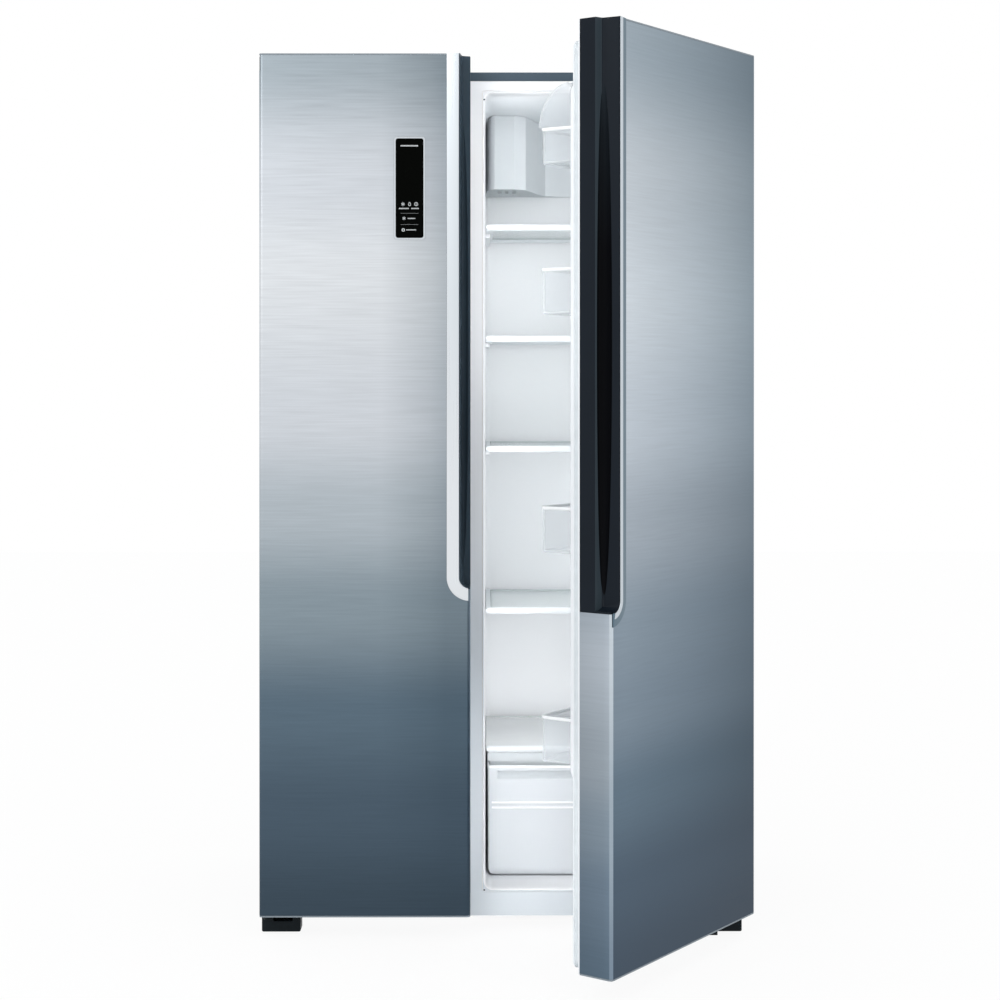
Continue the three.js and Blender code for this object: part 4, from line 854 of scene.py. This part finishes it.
def binSeats(door, press):
    # small tapered bosses in the field, one under each end of a bin
    seat = {"reach": 33, "height": 10, "inward": 6, "outward": 8, "gap": 0.3, "edge": 1.5}
    near = press["handleInset"] + press["land"]
    far = door["width"] - press["hingeInset"] - press["land"]
    root, tip = door["linerFace"] - 1, door["linerFace"] + seat["reach"]
    pieces = []
    for node in binsOf(door):
        low = corners(node, door["shut"])[0].z - seat["gap"]
        shape = [(root, low - 2 * seat["height"]), (tip, low - seat["height"]), (tip, low), (root, low)]
        for u0, u1 in ((near - seat["inward"], near + seat["outward"]),
                       (far - seat["outward"], far + seat["inward"])):
            boss = prism("seat", "x", shape, across(door, u0), across(door, u1))
            pieces.append(roundEdges(boss, seat["edge"], 3))
    return pieces


def tubRings(ring, tub, low, high, steps):
    # an open tub: round foot, outside, rolled rim, inside and its own round foot
    wall, rim, edge, foot = (tub[key] for key in ("wall", "rim", "edge", "foot"))
    soft, inner, bend = edge * 0.3, foot - tub["footTighter"], quarterRound(steps)
    outside = [(rim + foot * out, low + foot * up) for out, up in bend] + [(rim, high - tub["rimLow"])]
    over = [(0, high - tub["rimFull"]), (0, high - edge), (soft, high - soft), (edge, high),
            (rim + wall - edge, high)]
    if tub["softInside"]:
        over.append((rim + wall - soft, high - soft))
    inside = [(rim + wall + inner * out, low + wall + inner * up) for out, up in bend[::-1]]
    return [ring(inset, level) for inset, level in outside + over + [(rim + wall, high - edge)] + inside]


def binPlan(door, node, inset):
    plan = {"near": 65.5, "far": 78.5, "end": 55, "back": 1.5, "corner": 3, "round": 12, "tightest": 2,
            "sharp": 0.01}
    reach = corners(node, door["shut"])[1].y - inset
    inner, innerFar = plan["near"] + inset, door["width"] - plan["far"] - inset
    outer, outerFar = plan["end"] + inset, door["width"] - plan["end"] - inset
    back, step = (door[face] + plan["back"] + inset for face in ("linerFace", "dykeFace"))
    outside = max(plan["round"] - inset, plan["tightest"])
    inside, sharp = plan["corner"], plan["sharp"]
    spots = [(inner, back, inside), (inner, step, sharp), (outer, step, inside), (outer, reach, outside),
             (outerFar, reach, outside), (outerFar, step, inside), (innerFar, step, sharp),
             (innerFar, back, inside)]
    return outline([(across(door, u), y, radius) for u, y, radius in spots], 0, 6)


def doorBin(door, node):
    # clear tub, stepped to fit between the dykes, with a rolled rim
    tub = {"wall": 2.5, "rim": 2, "rimLow": 6, "rimFull": 4, "foot": 5, "footTighter": 1, "edge": 0.9,
           "softInside": True}
    low, high = corners(node, door["shut"])
    rimLow = high.z - tub["rimLow"]

    def ring(inset, level):
        return placed(binPlan(door, node, inset), "z", level)

    def cornered(middle, normal):
        slanting = min(abs(normal.x), abs(normal.y)) > 0.2
        return middle.z < low.z + tub["foot"] or (slanting and middle.z < rimLow)

    body = loft(node + "_tub", tubRings(ring, tub, low.z, high.z, 5))
    piece = finished(swung(body, door), "clear_plastic", node, angle=40)
    # the rim takes a bright, nearly opaque plastic as a painted highlight
    tinted(piece, "clear_edge", lambda middle, normal: middle.z > rimLow, door)
    return tinted(piece, "clear_wall", cornered, door)


def dairyLid(door):
    # quarter round lid with closed ends, hung on a barrel along its top
    lid = {"wall": 2.5, "steps": 22, "barrel": 5, "edge": 0.5, "bead": 3.2, "sunk": 0.9, "gap": 0.3,
           "endSunk": 0.4, "endTop": 0.6, "inset": 1, "brightFoot": 1, "brightTop": 3}
    low, high = corners("dairy_lid", door["shut"])
    back, reach, rise, axis = low.y, high.y - low.y, high.z - low.z, low.y + lid["barrel"]

    def arc(inset):
        return [(back + (reach - inset) * math.cos(t), low.z + (rise - inset) * math.sin(t))
                for t in turns(math.pi / 2, lid["steps"])]

    def atEnds(name, shape, start, end):
        return [prism(name, "x", shape, a, b) for a, b in
                ((low.x + start, low.x + end), (high.x - end, high.x - start))]

    sheet = prism("dairy_lid_shell", "x", arc(lid["sunk"]) + arc(lid["wall"])[::-1],
                  low.x + lid["inset"], high.x - lid["inset"])
    plate = [(axis, low.z)] + arc(lid["endSunk"])[:-1] + [(axis, high.z - lid["endTop"])]
    ends = atEnds("end", plate, lid["gap"], lid["wall"])
    ends += atEnds("bead", arc(0) + arc(lid["bead"])[::-1], 0, lid["bead"])
    barrel = prism("barrel", "x", [(axis + lid["barrel"] * c, high.z - lid["barrel"] * (1 - s))
                                   for c, s in circle(24)], low.x, high.x)
    unite(sheet, *ends, barrel)
    roundEdges(sheet, lid["edge"], 2, 50)
    piece = finished(swung(sheet, door), "clear_plastic", "dairy_lid", angle=40)

    # the beads and the top and bottom edges take the bright plastic as a painted highlight
    def rimmed(middle, normal):
        beaded = min(middle.x - low.x, high.x - middle.x) < lid["bead"] + 0.2 and abs(normal.x) < 0.9
        return beaded or not low.z + lid["brightFoot"] <= middle.z <= high.z - lid["brightTop"]

    return tinted(piece, "clear_edge", rimmed, door)


doors = {name: doorFrame(name) for name in ("freezer", "fridge")}
for door in doors.values():
    doorSkin(door)
    doorHandle(door)
    handleTrim(door)
    doorGasket(door)
    doorLiner(door)
    refined(door["name"] + "_door_body", "door_cap", 0.6)
    for node in binsOf(door):
        doorBin(door, node)
    print(door["name"], "door ready")
dairyLid(doors["fridge"])


# display in the freezer door: bright bezel, black glass and its printed marks

def display():
    panel = {"bezel": 3.4, "corner": 6.5, "glassCorner": 4.5, "edge": 0.5, "rimEdge": 0.35, "sunk": 0.25,
             "recess": 1.4, "gap": 0.1}
    low, high = corners("display_panel")

    def frameShape(inset, corner):
        return rectangle(low.x + inset, high.x - inset, low.z + inset, high.z - inset, corner)

    rim = prism("display_bezel", "y", frameShape(0, panel["corner"]), low.y + panel["sunk"], high.y)
    hole = frameShape(panel["bezel"], panel["glassCorner"])
    carve(rim, prism("hole", "y", hole, low.y - beyond, low.y + panel["recess"]))
    finished(roundEdges(rim, panel["rimEdge"], 2, 40), "silver", body="freezer_door", angle=30)
    pane = frameShape(panel["bezel"] + panel["gap"], panel["glassCorner"])
    glass = roundEdges(prism("display_glass", "y", pane, low.y, high.y - 1), panel["edge"], 3, 40)
    finished(glass, "black_glass", "display_panel", angle=30)
    displayMarks((low.x + high.x) / 2, high.z, low.y)


def displayMarks(middle, top, front):
    # plain signs: lamps, a snow crystal, a drop, a leaf and level bars
    marks = {"proud": 0.12, "sunk": 0.3, "line": 0.95, "icon": 3.7, "dash": 1.5, "gap": 0.6,
             "signs": 129, "apart": 12.6, "cold": (-10.6, 156.2, 0.9), "leaf": (-12, 178.4, 0.85),
             "leafLine": 1.6, "rules": (146.7, 168), "ruleHalf": 17, "ruleLine": 0.2}
    # rows of dashes are (from, to, below the top edge, height)
    rows = ((-17, 17, 17.6, 2.6), (-20, 0, 137.4, 2.2), (3.4, 20, 137.4, 2.2), (-3.4, 13, 156.4, 2.0),
            (-6, 14, 178.2, 2.0))
    line, size = marks["line"], marks["icon"]
    pieces = []

    def mark(shape):
        pieces.append(prism("mark", "y", shape, front - marks["proud"], front + marks["sunk"]))

    def bar(x0, x1, z0, z1):
        mark([(x0, z0), (x1, z0), (x1, z1), (x0, z1)])

    def stroke(x, z, length, turn):
        along = Vector((math.cos(turn), math.sin(turn))) * length / 2
        aside = Vector((-math.sin(turn), math.cos(turn))) * line / 2
        mark([tuple(Vector((x, z)) + s * along + t * aside) for s, t in ((-1, -1), (1, -1), (1, 1), (-1, 1))])

    def ringMark(x, z, radius, width=line, start=0.0, end=2 * math.pi):
        edges = [[(x + r * math.cos(t), z + r * math.sin(t)) for r in (radius, radius - width)]
                 for t in turns(end, 20, start)]
        for (a, b), (c, d) in zip(edges, edges[1:]):
            mark([a, c, d, b])

    def crystal(x, z, size):
        for k in range(3):
            stroke(x, z, 2 * size, math.pi / 2 + k * math.pi / 3)

    def drop(x, z, size):
        ringMark(x, z - size * 0.3, size * 0.7, line, math.pi * 0.85, math.pi * 2.15)
        for side, turn in ((-1, 0.34), (1, 0.66)):
            stroke(x + side * size * 0.32, z + size * 0.5, size * 1.15, math.pi * turn)

    def dashes(x0, x1, z, tall):
        step = marks["dash"] + marks["gap"]
        for k in range(int((x1 - x0) / step)):
            x = middle + x0 + k * step
            bar(x, x + marks["dash"], z - tall / 2, z + tall / 2)

    signs, apart, half = top - marks["signs"], marks["apart"], marks["ruleHalf"]
    crystal(middle - apart, signs, size)
    drop(middle, signs, size)
    ringMark(middle + apart, signs, size)
    stroke(middle + apart, signs, size, math.pi / 2)
    aside, below, share = marks["cold"]
    crystal(middle + aside, top - below, size * share)
    aside, below, share = marks["leaf"]
    ringMark(middle + aside, top - below, size * share, line * marks["leafLine"])
    for x0, x1, below, tall in rows:
        dashes(x0, x1, top - below, tall)
    for rule in marks["rules"]:
        bar(middle - half, middle + half, top - rule, top - rule + marks["ruleLine"])
    finished(gather("display_marks", pieces), "print", body="freezer_door", angle=30)


display()
print("display ready")


# cabinet inside

def roundedRoom(name, x0, x1, y0, y1, z0, z1, corner, back, grow):
    # a room open towards the doors, its rear edges filleted
    levels = [(y0, 0)] + [(y1 + grow - back * out, back * up) for out, up in quarterRound(6)]
    rings = []
    for y, inset in levels:
        side = grow - inset
        shape = rectangle(x0 - side, x1 + side, z0 - side, z1 + side, max(corner + side, 1.5))
        rings.append(placed(shape, "y", y))
    return loft(name, rings)


def cabinetLiner(name, shelves, rails):
    # one vacuum formed tub: rounded lip, mouth and rear corners, a step over the machine room
    form = {"wall": 2.2, "lip": 6, "lipCorner": 4, "lipDepth": 3, "mouth": 4.8, "mouthDepth": 9, "corner": 15,
            "rear": 13, "ledge": 10, "ledgeHigh": 8, "ledgeEdge": 2.2, "ledgeEnd": 14, "setback": 90,
            "gap": 0.3, "behind": 8, "overlap": 0.4, "lipEdge": 1.0}
    node = name + "_liner"
    low, high = corners(node)
    x0, x1 = low.x + form["lip"], high.x - form["lip"]
    z0, z1 = low.z + form["lip"], high.z - form["lip"]
    wall, corner, mouth = form["wall"], form["corner"], form["mouth"]
    front, back = low.y, high.y - wall
    drawer = "crisper_drawer" if name == "fridge" else "freezer_drawer_lower"
    stepFront = corners(drawer)[1].y + form["behind"]
    stepTop = corners("evaporator_cover")[0].z - form["gap"]

    def rooms(grow, start):
        upper = roundedRoom("upper", x0, x1, start, back, stepTop, z1, corner, form["rear"], grow)
        lower = roundedRoom("lower", x0, x1, start, stepFront, z0, z1, corner, form["rear"], grow)
        return unite(upper, lower)

    shell = rooms(wall, front + form["lipDepth"] - form["overlap"])
    lip = roundEdges(prism("lip", "y", rectangle(low.x, high.x, low.z, high.z, form["lipCorner"]),
                           front, front + form["lipDepth"]), form["lipEdge"], 3, 40)
    levels = [(mouth, front - beyond)]
    levels += [(mouth * up, front + form["mouthDepth"] * out) for out, up in quarterRound(6)[::-1]]
    flare = loft("flare", [placed(rectangle(x0 - g, x1 + g, z0 - g, z1 + g, corner + g), "y", y)
                           for g, y in levels])
    unite(shell, lip)
    carve(shell, rooms(0, front - beyond), flare)
    start = corners(shelves[0])[0].y + form["setback"]
    end = back - form["ledgeEnd"] if name == "fridge" else corners("evaporator_cover")[0].y
    ledges = []
    for shelf, width in [(shelf, form["ledge"]) for shelf in shelves] + rails:
        top = corners(shelf)[0].z - form["gap"]
        for a, b in ((x0 - 1, x0 + width), (x1 - width, x1 + 1)):
            ledge = boxPiece("ledge", a, b, start, end, top - form["ledgeHigh"], top)
            ledges.append(roundEdges(ledge, form["ledgeEdge"], 3))
    liner = finished(gather(node + "_formed", [shell] + ledges), "white_liner", node, angle=50)
    tinted(liner, "white_paint", lambda middle, normal: normal.y < -0.9 and middle.y < front + 1)


cabinetLiner("fridge", [f"fridge_shelf_frame_{i}" for i in (1, 2, 3, 4)] + ["crisper_cover"], [])
cabinetLiner("freezer", [f"freezer_shelf_{i}" for i in (1, 2, 3, 4)], [("freezer_drawer_upper", 32)])
print("liners ready")

refined("front_frame", "white_paint", 0.5)
# painted light and shade: the duct cover's front faces are a greyer white, and its flanks and rear half, which lie
# in shade beside the walls, are lightened to plain white
ductMiddle = sum(corner.y for corner in corners("air_duct_cover")) / 2
tinted(refined("air_duct_cover", "duct_plastic", 2.0, 3), "white_plastic", lambda middle, normal: (
    abs(normal.x) > 0.12 or middle.y > ductMiddle) and abs(normal.z) < 0.7)
refined("evaporator_cover", "white_plastic", 1.5, 3)


def shelfTrim(node, finish):
    # a packed shelf whose front bar gets pointed ends
    tip = {"depth": 15, "under": (9, 7), "over": (5, 5), "edge": 0.8}
    low, high = corners(node)
    shelf = merged(node)
    for x, hand in ((low.x, 1), (high.x, -1)):
        for z, rise, (along, up) in ((low.z, 1, tip["under"]), (high.z, -1, tip["over"])):
            shape = [(x - hand, z - rise), (x + hand * along, z - rise), (x - hand, z + rise * up)]
            carve(shelf, prism("tip", "y", shape, low.y - 1, low.y + tip["depth"]))
    return finished(roundEdges(shelf, tip["edge"], 3), finish, node)


def crisperCover():
    # frosted cover with a white front bar; the lip under it dips into the drawer and closes its top
    cover = {"bar": 13, "inset": 3, "front": 4, "back": 7, "over": 1.2, "tongueInset": 5, "dip": 11,
             "rise": 3, "bite": 0.5, "edge": 0.8}
    low, high = corners("crisper_cover")
    first, last = corners("crisper_drawer")
    top, depth = last.z, (low.y + cover["front"], low.y + cover["back"])
    tinted(shelfTrim("crisper_cover", "clear_cover"), "white_plastic",
           lambda middle, normal: middle.y < low.y + cover["bar"])
    apron = boxPiece("crisper_cover_apron", low.x + cover["inset"], high.x - cover["inset"], *depth,
                     top + cover["over"], low.z + cover["bite"])
    unite(apron, boxPiece("tongue", first.x + cover["tongueInset"], last.x - cover["tongueInset"], *depth,
                          top - cover["dip"], top + cover["rise"]))
    # the apron takes the greyer white, a painted shade
    finished(roundEdges(apron, cover["edge"], 3), "duct_plastic", body=bodyOf["crisper_cover"])


def drawerTub(node):
    # tapered tub with a rounded foot, a rolled rim, a finger groove and two raised lines
    tub = {"proud": 1.2, "wall": 2.5, "draft": 0.5, "foot": 18, "footTighter": 2, "corner": 6,
           "tightest": 1.5, "rim": 0.8, "rimLow": 5, "rimFull": 3.4, "edge": 0.8, "softInside": False,
           "groove": (10, 19, 9), "grooveInset": 20, "grooveCorner": 5, "grooveAhead": 3,
           "grooveStraight": 0.6, "barEnds": 3, "barSet": 0.6, "lines": (0.675, 0.63), "lineHeight": 3.4,
           "lineInset": 9, "lineCorner": 1.0, "soft": 0.4}
    low, high = corners(node)
    front, wall = low.y + tub["proud"], tub["wall"]

    def ring(inset, level):
        side = tub["draft"] * (1 - (level - low.z) / (high.z - low.z)) + inset
        return placed(rectangle(low.x + side, high.x - side, front + inset, high.y - side,
                                max(tub["corner"] - inset, tub["tightest"]), 6), "z", level)

    body = loft(node + "_tub", tubRings(ring, tub, low.z, high.z, 7))
    drop, tall, deep = tub["groove"]
    x0, x1 = low.x + tub["grooveInset"], high.x - tub["grooveInset"]
    top, face = high.z - drop, front + tub["rim"]
    unite(body, boxPiece("bar", x0 - tub["barEnds"], x1 + tub["barEnds"], face + tub["barSet"],
                         face + deep + wall, top - tall - wall, top + wall))
    ahead = face - tub["grooveAhead"]
    groove = [(ahead, top, 0), (face + deep, top), (face + deep, top - tall * tub["grooveStraight"]),
              (ahead, top - tall - 1, 0)]
    carve(body, prism("groove", "x", outline(groove, tub["grooveCorner"], 6), x0, x1))
    levels = [low.z + (high.z - low.z) * share for share in tub["lines"]]
    for level in levels:
        foot = level - tub["lineHeight"]
        shape = outline([(low.y, level), (low.y, foot), (face + 1, foot, 0), (face + 1, level, 0)],
                        tub["lineCorner"], 4)
        unite(body, prism("line", "x", shape, low.x + tub["lineInset"], high.x - tub["lineInset"]))
    piece = finished(roundEdges(body, tub["soft"], 2, 50), "frosted", node, angle=40)

    def grooved(middle, normal):
        return (face + 0.4 < middle.y < face + deep + 0.5 and top - tall - 1 < middle.z < top + 0.1
                and x0 - 1 < middle.x < x1 + 1)

    def raised(middle, normal):
        lined = any(level - tub["lineHeight"] - 0.2 < middle.z < level + 0.2 for level in levels)
        return middle.y < face - 0.05 and (middle.z > high.z - tub["rimLow"] or lined)

    # the finger groove takes the greyer white as painted shade, and the raised lines and the rim's front a bright
    # white as painted highlight
    tinted(piece, "duct_plastic", grooved)
    tinted(piece, "frosted_line", raised)


for i in (1, 2, 3, 4):
    shelfTrim(f"fridge_shelf_frame_{i}", "white_plastic")
    refined(f"fridge_shelf_glass_{i}", "tough_glass", 0.8, 2)
    refined(f"freezer_shelf_{i}", "clear_plastic", 0.9, 3)
crisperCover()
for node in ("crisper_drawer", "freezer_drawer_upper", "freezer_drawer_lower"):
    drawerTub(node)
print("shelves and drawers ready")


# cabinet outside, base and machine room

def screwHead(radius, height):
    # a pan head with a cross recess, facing -Y
    ring = [(radius, 0), (radius, height * 0.35), (radius * 0.86, height * 0.75), (radius * 0.55, height)]
    head = loft("screw", [[(r * c, -h, r * s) for c, s in circle(18)] for r, h in ring])
    wide, long, depth = radius * 0.2, radius * 0.6, (-height - 1, -height * 0.35)
    return carve(head, boxPiece("slot", -wide, wide, *depth, -long, long),
                 boxPiece("slot", -long, long, *depth, -wide, wide))


def screws(name, host, head, finish, grid, start, columnStep, rowStep=(0, 0, 0)):
    made = repeated(head, *grid, start, columnStep, rowStep, finish)
    made.name = name
    finished(made, finish, body=bodyOf[host], angle=35)


def machineCover():
    # plate with rows of vents, each under a pressed hood
    cover = {"columns": 8, "rows": 3, "pitch": 90, "length": 62, "height": 6, "corner": 2.4, "vent": (-6, 3),
             "hood": 1.7, "hoodReach": 1.04, "hoodEnd": 1.05, "hoodTall": 1.5, "hoodRise": 1, "hoodSunk": 0.3,
             "hoodTurn": math.pi * 5 / 8, "thinnest": 0.05, "skin": 0.7, "skinDrop": 0.15, "steps": 10}
    low, high = corners("machine_cover")
    plate = boxPiece("cover_plate", low.x, high.x, low.y, high.y, low.z, high.z)
    rowStep = (high.z - low.z) / (cover["rows"] + 1)
    half, tall = cover["length"] / 2, cover["height"] / 2
    start = (-(cover["columns"] - 1) / 2 * cover["pitch"] + (low.x + high.x) / 2, high.y, low.z + rowStep)
    grid = (cover["columns"], cover["rows"], start, (cover["pitch"], 0, 0), (0, 0, rowStep), "grey_paint")
    vent = prism("vent", "y", rectangle(-half, half, -tall, tall, cover["corner"], 4), *cover["vent"])
    carve(plate, repeated(vent, *grid))
    rings, hoodHalf = [], tall * cover["hoodTall"]
    for k in range(cover["steps"] + 1):
        x = half * cover["hoodReach"] * (2 * k / cover["steps"] - 1)
        share = max(1 - (x / (half * cover["hoodEnd"])) ** 6, cover["thinnest"])
        arc = [(cover["hood"] * share * math.sin(t), hoodHalf * math.cos(t) + cover["hoodRise"])
               for t in turns(cover["hoodTurn"], 5)]
        inner = [(max(y - cover["skin"] * share, -cover["hoodSunk"]), z - cover["skinDrop"]) for y, z in arc]
        rings.append([(x, y, z) for y, z in arc + inner[::-1]])
    hoods = repeated(loft("hood", rings), *grid)
    finished(gather("machine_cover_plate", [roundEdges(plate, 0.3, 1, 40), hoods]), "grey_paint",
             "machine_cover", angle=40)


def fixings():
    # screws of the rear sheets and plugs in the corners of the front frame
    fixing = {"screw": (3.6, 1.5), "plug": (1.7, 0.5), "inset": 12, "sunk": 2, "sideLow": 60, "sideEnds": 90,
              "topInset": 170, "coverEnd": 14, "plugInset": 3.8, "plugLow": 3, "plugEnds": 20}
    inset, topInset, coverEnd = fixing["inset"], fixing["topInset"], fixing["coverEnd"]

    def rearScrew():
        head = screwHead(*fixing["screw"])
        head.data.transform(Matrix.Rotation(math.pi, 4, "Z"))
        return head

    low, high = corners("back_panel")
    wide, tall, face = high.x - low.x, high.z - low.z, high.y - fixing["sunk"]
    screws("back_screws", "back_panel", rearScrew(), "zinc", (2, 6),
           (low.x + inset, face, low.z + fixing["sideLow"]), (wide - 2 * inset, 0, 0),
           (0, 0, (tall - fixing["sideEnds"]) / 5))
    screws("back_top_screws", "back_panel", rearScrew(), "zinc", (4, 1),
           (low.x + topInset, face, high.z - inset), ((wide - 2 * topInset) / 3, 0, 0))
    low, high = corners("machine_cover")
    screws("cover_screws", "machine_cover", rearScrew(), "zinc", (2, 2),
           (low.x + inset, high.y, low.z + coverEnd), (high.x - low.x - 2 * inset, 0, 0),
           (0, 0, high.z - low.z - 2 * coverEnd))
    for name in ("fridge", "freezer"):
        low, high = corners(name + "_liner")
        x = low.x + fixing["plugInset"] if name == "fridge" else high.x - fixing["plugInset"]
        screws(name + "_frame_plugs", name + "_liner", screwHead(*fixing["plug"]), "black_shaded", (1, 2),
               (x, low.y, low.z + fixing["plugLow"]), (0, 0, 0), (0, 0, high.z - low.z - fixing["plugEnds"]))


refined("outer_case", "grey_paint", 0.4)
refined("back_panel", "grey_paint", 0.7, 3)
machineCover()
refined("base_tray", "zinc", 0.5)
refined("compressor", "black_paint", 1.0)
refined("condenser_fan", "black_plastic", 0.4)
refined("evaporator", "aluminium", 0.2)
for side in ("left", "right"):
    refined("top_hinge_" + side, "zinc", 0.5)
    refined("hinge_cover_" + side, "grey_plastic", 1.6, 3)
    refined("lower_hinge_" + side, "black_paint", 0.6)
    refined("foot_" + side, "black_plastic", 0.5)
    refined("roller_" + side, "black_plastic", 0.5)
fixings()
frame["nodes"]["insulation"].data.materials.clear()
frame["nodes"]["insulation"].data.materials.append(finishes["foam"].material)
print("cabinet ready")


# floor, light and background

def rayMask(tree):
    # one for what the camera sees straight, in a reflection or through a clear piece
    path = addNode(tree, "LightPath", {}).outputs
    seen = addNode(tree, "Math", {0: path["Is Camera Ray"], 1: path["Is Glossy Ray"]}, operation="MAXIMUM")
    return addNode(tree, "Math", {0: seen, 1: path["Is Transmission Ray"]}, operation="MAXIMUM")


def areaLamp(name, place, aim, size, shape, power):
    lamp = bpy.data.lights.new(name, "AREA")
    lamp.shape = shape
    lamp.size, lamp.size_y = size
    lamp.energy = power
    piece = linked(name, lamp)
    piece.location = place
    piece.rotation_euler = (Vector(aim) - Vector(place)).to_track_quat("-Z", "Y").to_euler()
    piece.visible_camera = False
    return piece


def backdrop():
    # a pale floor that is nearly white where it is seen, and a world that is white there
    room = {"floor": (250, 251, 252), "glow": 0.92, "half": 8, "ambient": 0.92}
    floor = linked("floor", bpy.data.meshes.new("floor"))
    spots = [(x * room["half"], y * room["half"], 0) for x, y in ((-1, -1), (1, -1), (1, 1), (-1, 1))]
    floor.data.from_pydata(spots, [], [(0, 1, 2, 3)])
    paper = bpy.data.materials.new("pale floor")
    paper.use_nodes = True
    tree = paper.node_tree
    shader = feed(tree.nodes["Principled BSDF"], {"Base Color": linear(*room["floor"]), "Roughness": 0.9})
    share = addNode(tree, "Math", {0: rayMask(tree), 1: room["glow"]}, operation="MULTIPLY")
    shown = addNode(tree, "MixShader", {0: share, 1: shader, 2: addNode(tree, "Emission", {"Strength": 1})})
    feed(tree.nodes["Material Output"], {0: shown})
    floor.data.materials.append(paper)

    world = bpy.data.worlds.new("studio")
    scene.world = world
    world.use_nodes = True
    tree = world.node_tree
    tree.nodes.clear()
    ambient, white = (addNode(tree, "Background", {"Color": (1, 1, 1, 1), "Strength": power})
                      for power in (room["ambient"], 1))
    addNode(tree, "OutputWorld", {0: addNode(tree, "MixShader", {0: rayMask(tree), 1: ambient, 2: white})})


def lamps():
    # key and fill, lamps in the side walls behind each door, and strips that shine between the doors
    light = {"disks": (("key", (-2.2, -3.4, 3.2), 44), ("fill", (2.6, -3.0, 2.2), 16)), "disk": 2.4,
             "diskAim": (0, 0, 0.9), "walls": {"fridge": (1.7, 1.1), "freezer": (0.5, 0.5)},
             "wallStrip": (0.06, 1.25), "wallInset": 18, "wallBehind": 40, "wallLevel": 955, "wallAim": 0.9,
             "gaps": ((1.44, 0.76, 0.18), (0.2, 0.45, 0.155)), "gapSpot": (0.02, -1.0), "gapAim": (0.02, 1),
             "gapWidth": 0.05, "gapSpread": 25}
    for name, place, power in light["disks"]:
        areaLamp(name, place, light["diskAim"], (light["disk"], light["disk"]), "DISK", power)
    for name, powers in light["walls"].items():
        low, high = corners(name + "_liner")
        for hand, side, power in zip((1, -1), (high.x, low.x), powers):
            place = Vector((side - hand * light["wallInset"], low.y + light["wallBehind"],
                            light["wallLevel"])) * mm
            aim = place + Vector((-hand, light["wallAim"], 0))
            lamp = areaLamp(name + "_lamp", place, aim, light["wallStrip"], "RECTANGLE", power)
            lamp.visible_glossy = False
    for level, length, power in light["gaps"]:
        strip = areaLamp("gap_lamp", (*light["gapSpot"], level), (*light["gapAim"], level),
                         (light["gapWidth"], length), "RECTANGLE", power)
        strip.data.spread = math.radians(light["gapSpread"])
        strip.visible_glossy = False


backdrop()
lamps()
scene.view_settings.view_transform = "Standard"
print("scene ready")
